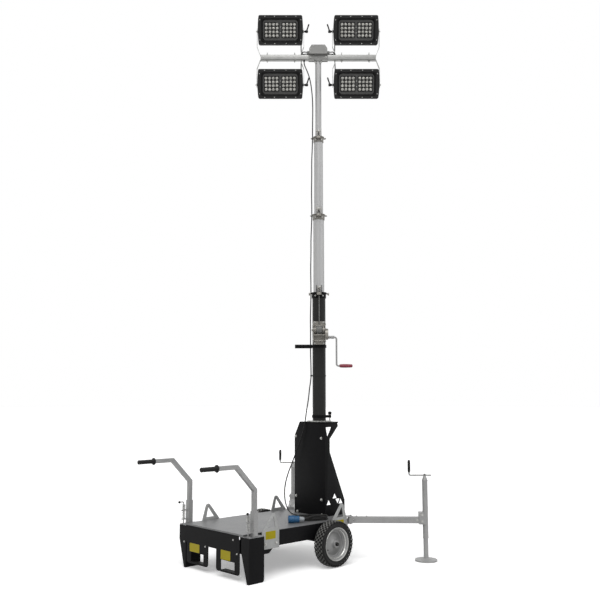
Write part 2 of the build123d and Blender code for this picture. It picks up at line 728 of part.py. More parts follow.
def lamp(column, row):
    """A flat housing with bulging sides, a window, fins, two pivots and a cable gland, tilted down."""
    half_w, half_h = LAMP_W / 2, LAMP_H / 2
    left = ThreePointArc((half_w, half_h), (half_w + LAMP_BULGE, 0), (half_w, -half_h))
    right = ThreePointArc((-half_w, -half_h), (-half_w - LAMP_BULGE, 0), (-half_w, half_h))
    top = Line((-half_w, half_h), (half_w, half_h))
    bottom = Line((half_w, -half_h), (-half_w, -half_h))
    outline = fillet(make_face([top, left, bottom, right]).vertices(), LAMP_CORNER)
    front = Plane(origin=(-LAMP_FORWARD - LAMP_D / 2, 0, LAMP_UP), x_dir=(0, -1, 0), z_dir=(-1, 0, 0))
    body = extrude(front * outline, -(LAMP_D - LAMP_FIN_D))
    window = RectangleRounded(LAMP_W - 2 * LAMP_RIM, LAMP_H - 2 * LAMP_RIM, 14)
    body -= extrude(front * window, -LAMP_RECESS)
    pitch = (LAMP_W - 2 * LAMP_FIN_EDGE) / (LAMP_FINS - 1)
    low, high = LAMP_UP - LAMP_FIN_H / 2, LAMP_UP + LAMP_FIN_H / 2
    for k in range(LAMP_FINS):
        y = -half_w + LAMP_FIN_EDGE + k * pitch
        body += box(LAMP_REAR - 1, LAMP_REAR + LAMP_FIN_D, y - LAMP_FIN_T / 2, y + LAMP_FIN_T / 2, low, high)
    body += box(LAMP_REAR - 1, LAMP_REAR + LAMP_FIN_D, -half_w + LAMP_FIN_EDGE, half_w - LAMP_FIN_EDGE, -BOSS_W / 2, BOSS_W / 2)
    for sign in (1, -1):
        body += rod((0, sign * (half_w - LAMP_FIN_EDGE), 0), (0, sign * (half_w + LAMP_BULGE + YOKE_GAP - FIT), 0), BOSS_W)
    gland_y, gland_z = -column * LAMP_GLAND_Y, -row * LAMP_GLAND_Z
    body += rod((LAMP_REAR - 1, gland_y, gland_z), (LAMP_REAR + LAMP_GLAND_L, gland_y, gland_z), LAMP_GLAND_D)
    return Rot(0, -LAMP_TILT, 0) * body


def yoke(row):
    """A bent strip from the crossbar to both lamp pivots, drawn for the lamp above the bar."""
    seat = -LAMP_RISE + CROSSBAR / 2 + FIT
    out = LAMP_W / 2 + LAMP_BULGE + YOKE_GAP
    foot = YOKE_FOOT / 2
    centre = [(-out, 26), (-out, seat + YOKE_KNEE), (-foot, seat), (foot, seat), (out, seat + YOKE_KNEE), (out, 26)]
    inner = [(-out, 26), (-out, seat + YOKE_KNEE), (-foot, seat + YOKE_T), (foot, seat + YOKE_T),
             (out, seat + YOKE_KNEE), (out, 26)]
    outer = [(y + (YOKE_T if y > 0 else -YOKE_T) * (abs(y) == out), z) for y, z in centre]
    outline = outer + inner[::-1]
    strip = front_sheet(outline, -YOKE_W / 2, YOKE_W / 2)
    strip -= rod((0, -2 * out, 0), (0, 2 * out, 0), PIVOT_D + 1)
    return strip if row > 0 else mirror(strip, about=Plane.XY)


def lever_knob(column, row):
    """A clamp lever at the lamp's inner pivot."""
    inner = LAMP_W / 2 + LAMP_BULGE + YOKE_GAP + YOKE_T + FIT
    sign = -column
    hub = rod((0, sign * inner, 0), (0, sign * (inner + LEVER_KNOB_L), 0), LEVER_KNOB_D)
    middle = sign * (inner + LEVER_KNOB_L / 2)
    lever = rod((0, middle, 0), (-12, middle - sign * 6, LEVER_L), LEVER_D)
    return lamp_place(column, row) * (hub + lever)


def lead(column, row):
    """A lamp's cable, from its gland around behind the yoke to the junction box."""
    tilt = radians(-LAMP_TILT)
    back, up = LAMP_REAR + LAMP_GLAND_L + FIT, -row * LAMP_GLAND_Z
    start_x = back * cos(tilt) + up * sin(tilt)
    start_z = BAR_CENTRE_Z + row * LAMP_RISE - back * sin(tilt) + up * cos(tilt)
    start_y = LAMP_S - LAMP_GLAND_Y
    end_y = JUNCTION_W / 2 + GLAND_L
    end_z = BAR_CENTRE_Z + CROSSBAR / 2 + FIT + JUNCTION_H * JUNCTION_GLAND
    end_x = row * JUNCTION_GLAND_X
    if row > 0:
        bends = [(28, 0, 9), (50, 0, 2), (62, 0, -20), (62, 0, -50), (54, -2, -84)]
        last = [(40, 50, 22), (16, 38, 2)]
    else:
        bends = [(30, 0, 10), (52, 0, 30), (62, 0, 62), (65, 0, 104), (66, -2, 155), (66, -6, 206)]
        last = [(44, 54, -6), (22, 47, 4), (4, 32, 6)]
    points = [(start_x + dx, start_y + dy, start_z + dz) for dx, dy, dz in [(0, 0, 0)] + bends]
    points += [(end_x + dx, end_y + dy, end_z + dz) for dx, dy, dz in last + [(0, 16, 0), (0, 0, 0)]]
    return cord_tube(f"lead {column} {row}", [(x, column * y, z) for x, y, z in points], LEAD_D)


parts["crossbar"] = on_mast(crossbar())
parts["junction_box"] = on_mast(junction_box())
corners = [(1, 1), (-1, 1), (1, -1), (-1, -1)]
parts["lamp_yokes"] = on_mast(Compound(children=[lamp_place(c, r) * yoke(r) for c, r in corners]))
parts["lamp_levers"] = on_mast(Compound(children=[lever_knob(c, r) for c, r in corners]))
for number, (column, row) in enumerate(corners, 1):
    parts[f"lamp_{number}"] = on_mast(lamp_place(column, row) * lamp(column, row))
    parts[f"lead_{number}"] = on_mast(lead(column, row))


# Push handles

def handle(side, sign):
    x, y = AXLE_X + HANDLE_X, sign * HANDLE_Y
    end = x - HANDLE_REACH + HANDLE_GRIP_L + GRIP_FLANGE_L
    bends = [(x, y, FRONT_TOP + FIT), (x, y, KNEE_Z), (x - KNEE_BACK, y, HANDLE_Z), (end, y, HANDLE_Z)]
    tube = square_bar(bends, TUBE)
    tube += box(x - SLEEVE / 2, x + SLEEVE / 2, y - SLEEVE / 2, y + SLEEVE / 2, FRONT_TOP + FIT, SLEEVE_TOP)
    for z in LATCH_TABS:
        tab = box(x - LATCH_OUT - TAB_W / 2, x - SLEEVE / 2, y - TAB_W / 2, y + TAB_W / 2, z, z + TAB_T)
        tube += tab - Pos(x - LATCH_OUT, y, z) * Cylinder(LATCH_D / 2 + FIT, 4 * TAB_T)
    tube -= Pos(x, y, FRONT_TOP + POST_H / 2) * Cylinder(POST_D / 2 + FIT, POST_H + 4)
    stub_end = x - HANDLE_REACH + 6
    tube += rod((end, y, HANDLE_Z), (stub_end, y, HANDLE_Z), HANDLE_STUB_D)
    grip = rod((end - FIT, y, HANDLE_Z), (end - GRIP_FLANGE_L, y, HANDLE_Z), GRIP_FLANGE_D)
    grip += rod((end - GRIP_FLANGE_L, y, HANDLE_Z), (x - HANDLE_REACH, y, HANDLE_Z), HANDLE_GRIP_D)
    grip -= rod((end + 1, y, HANDLE_Z), (stub_end - FIT, y, HANDLE_Z), HANDLE_STUB_D + 2 * FIT)
    turn = radians(LATCH_TURNS[side])
    pin_x = x - LATCH_OUT
    tip = (pin_x + LATCH_ARM * cos(turn), y + LATCH_ARM * sin(turn), LATCH_TOP)
    latch = bent_rod([(pin_x, y, FRONT_TOP + 2), (pin_x, y, LATCH_TOP), tip], LATCH_BEND, LATCH_D)
    latch += Pos(*tip) * Rot(0, 0, 90) * Sphere(LATCH_BALL / 2)
    return tube, grip, latch


for side, sign in SIDES.items():
    tube, grip, latch = handle(side, sign)
    parts[f"handle_{side}"] = tube
    parts[f"handle_grip_{side}"] = grip
    parts[f"handle_latch_{side}"] = latch


# Stabilisers, drawn for the right side along +X from the pivot, then turned and mirrored

def to_side(shape, sign):
    placed = Pos(ARM_PIVOT[0], -ARM_PIVOT[1], 0) * Rot(0, 0, -45) * shape
    return placed if sign < 0 else mirror_y(placed)


def arm_bracket():
    """Two plates above and below the arm on a back plate, with the pivot bolt."""
    gap = ARM_TUBE / 2 + FIT
    back = -ARM_OFF + FIT
    half = BRACKET_L / 2
    body = box(back, back + BRACKET_T, -half, half, ARM_Z - gap - BRACKET_T, ARM_Z + gap + BRACKET_T)
    for low in (ARM_Z - gap - BRACKET_T, ARM_Z + gap):
        ear = box(back, 0, -half, half, low, low + BRACKET_T)
        body += ear + Pos(0, 0, low) * extrude(Circle(half * 0.62), BRACKET_T)
    return body + rod((0, 0, ARM_Z - gap - 14), (0, 0, ARM_Z + gap + 16), PIVOT_BOLT_D)


def arm():
    half = ARM_TUBE / 2
    end = ARM_REACH - CLAMP_L
    tube = box(-ARM_TAIL, end, -half, half, ARM_Z - half, ARM_Z + half)
    inner = half - ARM_WALL
    tube -= box(-ARM_TAIL - 1, end + 1, -inner, inner, ARM_Z - inner, ARM_Z + inner)
    tube -= Pos(0, 0, ARM_Z) * Cylinder(PIVOT_BOLT_D / 2 + RUNNING_FIT, 2 * ARM_TUBE)
    for x in (28, end - 14):
        tube -= rod((x, -ARM_TUBE, ARM_Z), (x, ARM_TUBE, ARM_Z), ARM_HOLE_D)
    return tube


def jack_tube():
    """The outer tube of the jack with the clamp that bolts it to the arm."""
    inner = JACK_D - 2 * JACK_WALL
    tube = ring(JACK_D, inner, JACK_BOTTOM, JACK_TOP)
    cone = Pos(0, 0, JACK_TOP + JACK_CONE / 2) * Cone(JACK_D / 2, JACK_D / 4, JACK_CONE)
    clamp = box(-CLAMP_L + FIT, 0, -CLAMP_W / 2, CLAMP_W / 2, CLAMP_LOW, CLAMP_HIGH)
    clamp -= Cylinder(JACK_D / 2 - 1, 4 * CLAMP_HIGH)
    return Pos(ARM_REACH, 0, 0) * (tube + cone + clamp)


def jack_leg():
    """The inner tube with its round foot pad."""
    outer = JACK_D - 2 * JACK_WALL - 2 * FIT
    tube = ring(outer, outer - 2 * LEG_WALL, PAD_T, LEG_TOP)
    pad = Pos(0, 0, PAD_T / 2) * Cylinder(PAD_D / 2, PAD_T)
    boss = Pos(0, 0, PAD_T + PAD_CONE_H / 2) * Cone(PAD_CONE_D / 2, outer / 2, PAD_CONE_H)
    return Pos(ARM_REACH, 0, 0) * (tube + pad + boss)


def jack_crank(sign):
    """The crank at the jack's top, turned to a fixed direction in the tower's frame."""
    turn = radians(CRANK_TURN)
    cx, cy = JACK[0], sign * JACK[1]
    z = JACK_CRANK_Z
    out = (cx + JACK_CRANK_L * cos(turn), cy + JACK_CRANK_L * sin(turn))
    tail = (cx - JACK_CRANK_TAIL * cos(turn), cy - JACK_CRANK_TAIL * sin(turn))
    body = bent_rod([(*tail, z), (*out, z), (*out, z + 32)], JACK_CRANK_BEND, JACK_CRANK_D)
    body += rod((*out, z + 30), (*out, JACK_GRIP_TOP), JACK_GRIP_D)
    return body + rod((cx, cy, JACK_TOP + JACK_CONE + FIT), (cx, cy, z + 12), JACK_CRANK_D * 1.6)


brackets = [to_side(arm_bracket(), sign) for sign in SIDES.values()]
parts["arm_brackets"] = Compound(children=brackets)
for side, sign in SIDES.items():
    parts[f"arm_{side}"] = to_side(arm(), sign)
    parts[f"jack_tube_{side}"] = to_side(jack_tube(), sign)
    parts[f"jack_leg_{side}"] = to_side(jack_leg(), sign)
    parts[f"jack_crank_{side}"] = jack_crank(sign)


# Supply cable: held stretches along the mast, then a free end down to the deck

def at_guide(tube_d, z):
    """The place of a cable guide's middle at a tube of this size."""
    reach = tube_d / 2 + GUIDE_R + GUIDE_WIRE
    turn = radians(GUIDE_TURN)
    return (-reach * sin(turn), -reach * cos(turn), z)


def cable_clip():
    """A band around the mast tube with a small hoop for the cable."""
    low, high = CABLE_CLIP_Z, CABLE_CLIP_Z + CABLE_CLIP_H
    band = ring(MAST_D + 2 * FIT + 2 * CABLE_CLIP_T, MAST_D + 2 * FIT, low, high)
    front, across, _ = at_guide(MAST_D, low)
    place = Pos(-front, -across, 0)
    hoop = place * ring(CABLE_D + 2 * FIT + 2 * CABLE_CLIP_T, CABLE_D + 2 * FIT, low, high)
    turn = Rot(0, 0, -GUIDE_TURN)
    reach = hypot(front, across) - CABLE_D / 2 - FIT
    tongue = turn * box(-CABLE_CLIP_T, CABLE_CLIP_T, MAST_D / 2 + FIT + 1, reach - 1, low, high)
    return band + tongue + hoop


CABLE_GAP = Vector(0, 0, FIT)
tops = [top + GUIDE_WIRE for top in tube_tops[:3]]
low_end = at_guide(MAST_D, CABLE_CLIP_Z)
stations = [low_end] + [at_guide(d, top) for d, top in zip(tube_ds, tops)]
for number, (low, high) in enumerate(zip(stations, stations[1:])):
    bottom, top = Vector(*mast_point(*low)), Vector(*mast_point(*high))
    parts[f"cable_{number}"] = rod(bottom + CABLE_GAP, top - CABLE_GAP, CABLE_D)
parts["cable_clip"] = on_mast(cable_clip())

# The top stretch stands off the section and ends in the crossbar's gland, in distances below the gland
head_front, head_across = -BAR_GLAND[0], -BAR_GLAND[1]
gland_z = SECTION_TOPS[2] - BAR_GLAND_L - FIT
head_bends = [(-11, 87, 682), (-13, 90, 552), (-15, 89, 427), (-18, 81, 317), (-21, 69, 222), (-20, 50, 142),
              (-13, 27, 84), (-4, 7, 44), (0, 0, 18), (0, 0, 0)]
head_route = [mast_point(*stations[-1])] + [
    mast_point(head_front + front, head_across + across, gland_z - drop) for front, across, drop in head_bends]
head_route[0] = tuple(Vector(*head_route[0]) + CABLE_GAP)
parts["cable_3"] = cord_tube("cable_3", head_route, CABLE_D)

# The free route leaves the clip, hangs in front of the stand and bends over the deck to the coil
DECK_LEVEL = DECK_TOP + CABLE_D / 2 + FIT
coil_side = Vector(0, COIL_W / 2, 0).rotate(Axis.Z, COIL_TURN)
coil_along = Vector(1, 0, 0).rotate(Axis.Z, COIL_TURN)
coil_centre = Vector(AXLE_X + COIL_X, COIL_Y, 0)
coil_end = coil_centre + coil_side - coil_along * 30
coil_near = coil_end + coil_side * 0.45
clip_point = Vector(*mast_point(*low_end)) - CABLE_GAP * 2
free_route = [
    tuple(clip_point),
    (clip_point.X - 3, clip_point.Y + 4, 1646),
    (526, 78, 1590),
    (502, 62, 1526),
    (479, 51, 1452),
    (458, 49, 1374),
    (441, 46, 1296),
    (430, 53, 1222),
    (427, 72, 1150),
    (422, 106, 1072),
    (417, 147, 986),
    (412, 182, 905),
    (404, 216, 830),
    (394, 249, 752),
    (383, 268, 678),
    (369, 271, 606),
    (357, 258, 538),
    (345, 232, 478),
    (334, 192, 430),
    (321, 143, 400),
    (310, 88, DECK_LEVEL + 2),
    (302, 30, DECK_LEVEL),
    (293, -30, DECK_LEVEL),
    (coil_near.X, coil_near.Y, DECK_LEVEL),
    (coil_end.X, coil_end.Y, DECK_LEVEL),
]
parts["cable_lower"] = cord_tube("cable_lower", free_route, CABLE_D)
parts["cable_coil"] = Pos(coil_centre.X, coil_centre.Y, DECK_TOP) * Rot(0, 0, COIL_TURN) * extrude(
    SlotOverall(COIL_L, COIL_W), COIL_H)

plug = rod((0, 0, PLUG_D / 2), (PLUG_L, 0, PLUG_D / 2), PLUG_D)
plug += rod((PLUG_L, 0, PLUG_D / 2), (PLUG_L + PLUG_TAIL_L, 0, PLUG_D / 2), PLUG_TAIL_D)
parts["plug"] = Pos(AXLE_X + PLUG_X, PLUG_Y, DECK_TOP) * Rot(0, 0, PLUG_TURN) * plug

# The tail bends from the plug round to the coil's near side in even steps
TAIL_STEPS = 4
plug_along = Vector(1, 0, 0).rotate(Axis.Z, PLUG_TURN)
tail_start = Vector(AXLE_X + PLUG_X, PLUG_Y, 0) + plug_along * (PLUG_L + PLUG_TAIL_L)
tail_turn = (COIL_TURN + 90 - PLUG_TURN) / TAIL_STEPS
headings = [Vector(1, 0, 0).rotate(Axis.Z, PLUG_TURN + k * tail_turn) for k in range(TAIL_STEPS + 1)]
reached = sum(h.dot(coil_side.normalized()) for h in headings)
gap_to_coil = (coil_centre - coil_side - tail_start).dot(coil_side.normalized())
step = gap_to_coil / reached
heights = [PLUG_D / 2, PLUG_D / 2, PLUG_D / 2 - 3, PLUG_D / 2 - 7, COIL_H / 2, COIL_H / 2]
tail = [tail_start + sum((h * step for h in headings[:k]), Vector(0, 0, 0)) for k in range(TAIL_STEPS + 2)]
tail_route = [(place.X, place.Y, DECK_TOP + rise) for place, rise in zip(tail, heights)]
parts["cable_tail"] = cord_tube("cable_tail", tail_route, CABLE_D)

for name, shape in parts.items():
    shape.label = name
    export_step(shape, f"parts/{name}.step")

print("nodes", len(parts), "axle", AXLE_X, "mast", MAST_AXIS, "pivot", ARM_PIVOT, "jack", JACK)
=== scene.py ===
"""Looks of a mobile light tower: a hand trolley with a telescopic mast and four floodlights.

Every piece is in metres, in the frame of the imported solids, and rides on one of their bodies.
"""

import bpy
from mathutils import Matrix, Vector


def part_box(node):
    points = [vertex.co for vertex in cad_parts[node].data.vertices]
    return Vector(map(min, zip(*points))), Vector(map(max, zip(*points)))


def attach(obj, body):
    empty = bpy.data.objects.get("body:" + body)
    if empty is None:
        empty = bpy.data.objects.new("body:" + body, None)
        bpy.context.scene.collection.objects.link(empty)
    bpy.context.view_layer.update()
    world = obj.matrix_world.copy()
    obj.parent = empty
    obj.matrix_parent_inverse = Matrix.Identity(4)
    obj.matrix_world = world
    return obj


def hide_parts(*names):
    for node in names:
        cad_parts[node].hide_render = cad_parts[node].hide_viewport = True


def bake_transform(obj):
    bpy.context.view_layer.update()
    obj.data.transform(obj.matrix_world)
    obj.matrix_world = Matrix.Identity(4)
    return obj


bl_info = {
    "name": "Mobile light tower",
    "version": (1, 0, 0),
    "blender": (4, 5, 0),
    "location": "3D View > Sidebar > Light tower",
    "description": "Builds the visible pieces, finishes and studio of a hand trolley light tower",
    "category": "Object",
}

import math

import bmesh
import bpy
from bpy.props import FloatProperty, FloatVectorProperty, IntProperty, PointerProperty
from mathutils import Matrix, Vector

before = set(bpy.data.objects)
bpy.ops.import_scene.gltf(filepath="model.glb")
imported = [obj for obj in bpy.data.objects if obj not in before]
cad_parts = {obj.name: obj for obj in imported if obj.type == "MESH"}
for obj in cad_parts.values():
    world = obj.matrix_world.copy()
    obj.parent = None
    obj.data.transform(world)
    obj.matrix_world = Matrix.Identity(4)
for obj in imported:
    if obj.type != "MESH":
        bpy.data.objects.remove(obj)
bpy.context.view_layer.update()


def middle(node):
    """The middle of a CAD node's box."""
    low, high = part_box(node)
    return (low + high) / 2


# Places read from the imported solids, and measures shared with the part's source
AXLE = middle("axle")
MAST_X = middle("index_ring").x
DECK_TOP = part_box("cable_coil")[0].z
APRON_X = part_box("apron")[0].x
STAND_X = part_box("mast_stand")[0].x
BAR_HALF = 0.025
BAR_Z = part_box("crossbar")[1].z - BAR_HALF
BOX_LIFT = BAR_HALF + 0.0003
MAST_TURN = math.radians(46.8)
ON_MAST = Matrix.Translation((MAST_X, 0, 0)) @ Matrix.Rotation(MAST_TURN, 4, "Z")
SIDES = {"left": 1.0, "right": -1.0}
LAMP_CORNERS = [(1, 1), (-1, 1), (1, -1), (-1, -1)]
LAMP_TILT = math.radians(18)
LAMP_ACROSS, LAMP_RISE = 0.394, 0.292
YOKES = (-0.531, -0.245, 0.245, 0.531)
EYES = (-0.688, 0.146)
ARM_PIVOT = (0.57944, 0.41354)
ARM_SWING = math.radians(45)
TUBES = (0.0655, 0.0545, 0.0455, 0.0315)
COLLAR_TOPS = (2.530, 3.330, 4.144)
SHARP = math.radians(38)  # edges sharper than this aren't smoothed
WHITE = (1, 1, 1, 1)
BLACK = (0, 0, 0, 1)


# Settings that a user would change

def shade(label, text, value):
    return FloatVectorProperty(name=label, description=text, default=value, subtype="COLOR", size=3, min=0, max=1)


def length(label, text, value):
    return FloatProperty(name=label, description=text, default=value, min=0.0, unit="LENGTH", precision=4)


def strength(label, text, value):
    return FloatProperty(name=label, description=text, default=value, min=0.0)


class TowerColours(bpy.types.PropertyGroup):
    deck: shade("Deck zinc", "Hot-dipped zinc of the deck sheet", (0.20, 0.202, 0.205))
    eyes: shade("Lifting eyes", "Zinc of the lifting eyes", (0.36, 0.365, 0.36))
    tubes: shade("Zinc tubes", "Zinc of the handles, arms and jacks", (0.345, 0.345, 0.343))
    rods: shade("Zinc rods", "Zinc of the cranks, pads and small rods", (0.17, 0.17, 0.165))
    bright: shade("Bright zinc", "Plated bolts, springs and small fittings", (0.40, 0.40, 0.385))
    winch: shade("Winch zinc", "Yellowed zinc plating of the winch", (0.22, 0.21, 0.19))
    black: shade("Black paint", "Powder coat of the trolley's front and stand", (0.0045, 0.0045, 0.0050))
    mast: shade("Mast paint", "Powder coat of the lower mast tube", (0.022, 0.022, 0.0215))
    section: shade("Mast sections", "Anodised telescopic sections", (0.44, 0.44, 0.44))
    bar: shade("Crossbar", "Anodised crossbar and lamp yokes", (0.36, 0.36, 0.35))
    box: shade("Junction box", "Cast junction box", (0.27, 0.27, 0.26))
    lamp: shade("Lamp housing", "Fine textured lamp castings", (0.026, 0.026, 0.026))
    panel: shade("Lamp panel", "Sheet behind the lenses", (0.075, 0.075, 0.073))
    rubber: shade("Rubber", "Seals, grips and cable sheaths", (0.008, 0.008, 0.008))
    tyre: shade("Tyre", "Tyre rubber", (0.026, 0.026, 0.026))
    # Much lighter than the tyre: painted highlight on the tops of the tread blocks, with some real rubbing
    tread: shade("Tread", "Rubbed rubber of the tread blocks", (0.125, 0.125, 0.12))
    rim: shade("Rim", "Painted wheel rim", (0.27, 0.27, 0.268))
    plug: shade("Plug", "Blue plug body", (0.018, 0.085, 0.19))
    plug_tail: shade("Plug tail", "Grey clamp at the plug's tail", (0.28, 0.30, 0.32))
    label: shade("Blank labels", "Yellow labels without print", (0.38, 0.31, 0.001))
    crank: shade("Winch grip", "Red grip of the winch crank", (0.20, 0.012, 0.03))


class TowerSizes(bpy.types.PropertyGroup):
    cable: length("Supply cable", "Outside diameter of the supply cable", 0.0110)
    lead: length("Lamp lead", "Outside diameter of a lamp's lead", 0.0105)
    coil_pitch: length("Coil pitch", "Step from one turn of the coil to the next beside it", 0.0108)
    coil_layer: length("Coil layer", "Height of one layer of the coil", 0.0120)
    coil_turns: FloatProperty(name="Coil turns", description="Turns of the coiled cable", default=6.50, min=1)
    lens: length("Lens", "Diameter of one lens", 0.029)
    lens_pitch: length("Lens pitch", "Distance between lens columns", 0.0375)
    lens_row: length("Lens row", "Distance between lens rows", 0.0375)
    lens_split: length("Lens split", "Half the gap between the two lens groups", 0.0335)
    tread: length("Tread depth", "Height of the tread blocks", 0.0135)
    tread_count: IntProperty(name="Tread blocks", description="Blocks around one row of a tyre", default=34, min=8)
    bolt: length("Bolt", "Width of a hexagon head", 0.017)
    screw: length("Screw", "Width of a small screw head", 0.010)
    label: length("Label", "Thickness of a label", 0.0006)
    rope: length("Winch rope", "Diameter of the steel rope", 0.010)


class TowerStage(bpy.types.PropertyGroup):
    lens: FloatProperty(name="Lens", description="Camera focal length on a 36 mm sensor", default=46.0, unit="CAMERA")
    floor: shade("Floor", "Colour of the studio floor", (0.50, 0.50, 0.50))
    ambient: strength("Ambient", "Strength of the soft light all around", 0.36)
    key: strength("Key", "Strength of the main soft light", 1.9)
    fill: strength("Fill", "Strength of the soft light from the right", 0.35)


def colours():
    return bpy.context.scene.tower_colours


def sizes():
    return bpy.context.scene.tower_sizes


# Nodes

def put(tree, kind, inputs=None, **settings):
    """Adds a node, a shader node unless its kind says more. Inputs take a value or another node's output."""
    node = tree.nodes.new(kind if "Node" in kind else "ShaderNode" + kind)
    for name, value in settings.items():
        setattr(node, name, value)
    for key, value in (inputs or {}).items():
        if isinstance(value, bpy.types.NodeSocket):
            tree.links.new(value, node.inputs[key])
        else:
            node.inputs[key].default_value = value
    return node


def set_inputs(node, values):
    for key, value in values.items():
        node.inputs[key].default_value = value


def new_material(name):
    """A new material with its node tree and its shader."""
    material = bpy.data.materials.new(name)
    material.use_nodes = True
    return material, material.node_tree, material.node_tree.nodes["Principled BSDF"]


def mixed(tree, share, first, second, how="MIX"):
    """The colour between two colours."""
    inputs = {0: share, 6: first, 7: second}
    return put(tree, "Mix", inputs, data_type="RGBA", blend_type=how).outputs[2]


def ramp(tree, value, low, high, low_colour=BLACK, high_colour=WHITE):
    """A value turned into a colour between two stops."""
    node = put(tree, "ValToRGB", {"Fac": value})
    for stop, place, colour in zip(node.color_ramp.elements, (low, high), (low_colour, high_colour)):
        stop.position, stop.color = place, colour
    return node.outputs["Color"]


def tinted(colour, share):
    """A colour made lighter or darker by a share."""
    return tuple(min(1.0, c * share) for c in colour) + (1.0,)


# Finishes. roughness: lowest and highest; tone: light and dark patches; spangle: zinc crystals per metre;
# drawn: stretch of the patches; grain and relief: fine bumps; gloss: strength of the shine;
# groove_shade_radii: radii on the wheel between which the colour comes in, and below which it is painted near black as
# painted shade low in the grooves between tread blocks; scuffs: rubbed marks; dust: pale dust on top
FINISHES = {
    "deck_zinc": ("deck", dict(
        roughness=(0.34, 0.50), metallic=0.35, tone=0.13, spangle=85, spangle_tone=0.20, relief=0.05, scuffs=0.25)),
    "eye_zinc": ("eyes", dict(
        roughness=(0.40, 0.58), metallic=0.30, tone=0.12, spangle=120, spangle_tone=0.14, relief=0.12)),
    "tube_zinc": ("tubes", dict(
        gloss=0.35, roughness=(0.32, 0.48), metallic=0.22, tone=0.12, spangle=150, spangle_tone=0.12, relief=0.06,
        scuffs=0.12)),
    "rod_zinc": ("rods", dict(
        roughness=(0.30, 0.44), metallic=0.45, tone=0.14, patches=16, spangle=170, spangle_tone=0.1, relief=0.05)),
    "bright_zinc": ("bright", dict(roughness=(0.22, 0.38), metallic=0.85, tone=0.10, patches=30, relief=0.04)),
    "winch_zinc": ("winch", dict(
        roughness=(0.28, 0.46), metallic=0.70, tone=0.18, patches=18, relief=0.06, scuffs=0.2)),
    "black_paint": ("black", dict(
        gloss=0.07, roughness=(0.36, 0.50), tone=0.18, grain=1100, relief=0.10, scuffs=0.05, dust=0.02)),
    "mast_paint": ("mast", dict(
        gloss=0.12, roughness=(0.34, 0.46), tone=0.15, grain=1100, relief=0.08, scuffs=0.10, drawn=(1, 1, 0.12))),
    "section_aluminium": ("section", dict(
        roughness=(0.26, 0.40), metallic=0.50, tone=0.07, patches=60, drawn=(1, 1, 0.02), grain=1500, relief=0.04)),
    "bar_aluminium": ("bar", dict(roughness=(0.30, 0.44), metallic=0.45, tone=0.08, patches=25, relief=0.04)),
    "box_casting": ("box", dict(roughness=(0.42, 0.55), metallic=0.10, tone=0.08, grain=900, relief=0.16)),
    "collar_casting": ("winch", dict(
        roughness=(0.34, 0.48), metallic=0.3, tone=0.16, patches=20, grain=900, relief=0.1)),
    "lamp_casting": ("lamp", dict(gloss=0.16, roughness=(0.44, 0.56), tone=0.12, grain=800, relief=0.22, dust=0.05)),
    "lamp_panel": ("panel", dict(gloss=0.3, roughness=(0.38, 0.50), tone=0.10, grain=900, relief=0.05)),
    "seal_rubber": ("rubber", dict(gloss=0.12, roughness=(0.45, 0.62), tone=0.15, grain=700, relief=0.10)),
    "grip_rubber": ("rubber", dict(gloss=0.2, roughness=(0.50, 0.70), tone=0.20, grain=600, relief=0.22, dust=0.05)),
    "cable_sheath": ("rubber", dict(
        gloss=0.2, roughness=(0.42, 0.58), tone=0.20, patches=22, grain=900, relief=0.08, dust=0.05)),
    "moulded_plastic": ("rubber", dict(gloss=0.25, roughness=(0.34, 0.46), tone=0.10, grain=1000, relief=0.08)),
    "tyre_compound": ("tyre", dict(
        gloss=0.1, roughness=(0.60, 0.80), tone=0.25, patches=9, grain=420, relief=0.25, scuffs=0.10, dust=0.03)),
    # Tread blocks: painted shade low in the grooves, and the light tread colour on their tops as painted highlight
    "tread_rubber": ("tread", dict(
        groove_shade_radii=(0.1935, 0.1975), gloss=0.2, roughness=(0.55, 0.75), tone=0.30, patches=14, grain=420, relief=0.2,
        dust=0.08)),
    "rim_paint": ("rim", dict(roughness=(0.36, 0.50), metallic=0.25, tone=0.10, patches=8, relief=0.06, scuffs=0.15)),
    "plug_plastic": ("plug", dict(gloss=0.3, roughness=(0.30, 0.42), tone=0.12, patches=14, grain=900, relief=0.06)),
    "plug_clamp": ("plug_tail", dict(roughness=(0.38, 0.52), tone=0.08, patches=14, grain=900, relief=0.06)),
    "label_film": ("label", dict(gloss=0.2, roughness=(0.30, 0.42), tone=0.06, patches=12, grain=300, relief=0.02)),
    "crank_grip": ("crank", dict(roughness=(0.34, 0.48), tone=0.15, patches=20, relief=0.06)),
    "rope_steel": ("rods", dict(gloss=0.3, roughness=(0.38, 0.52), metallic=0.2, tone=0.2, patches=80, relief=0.05)),
}


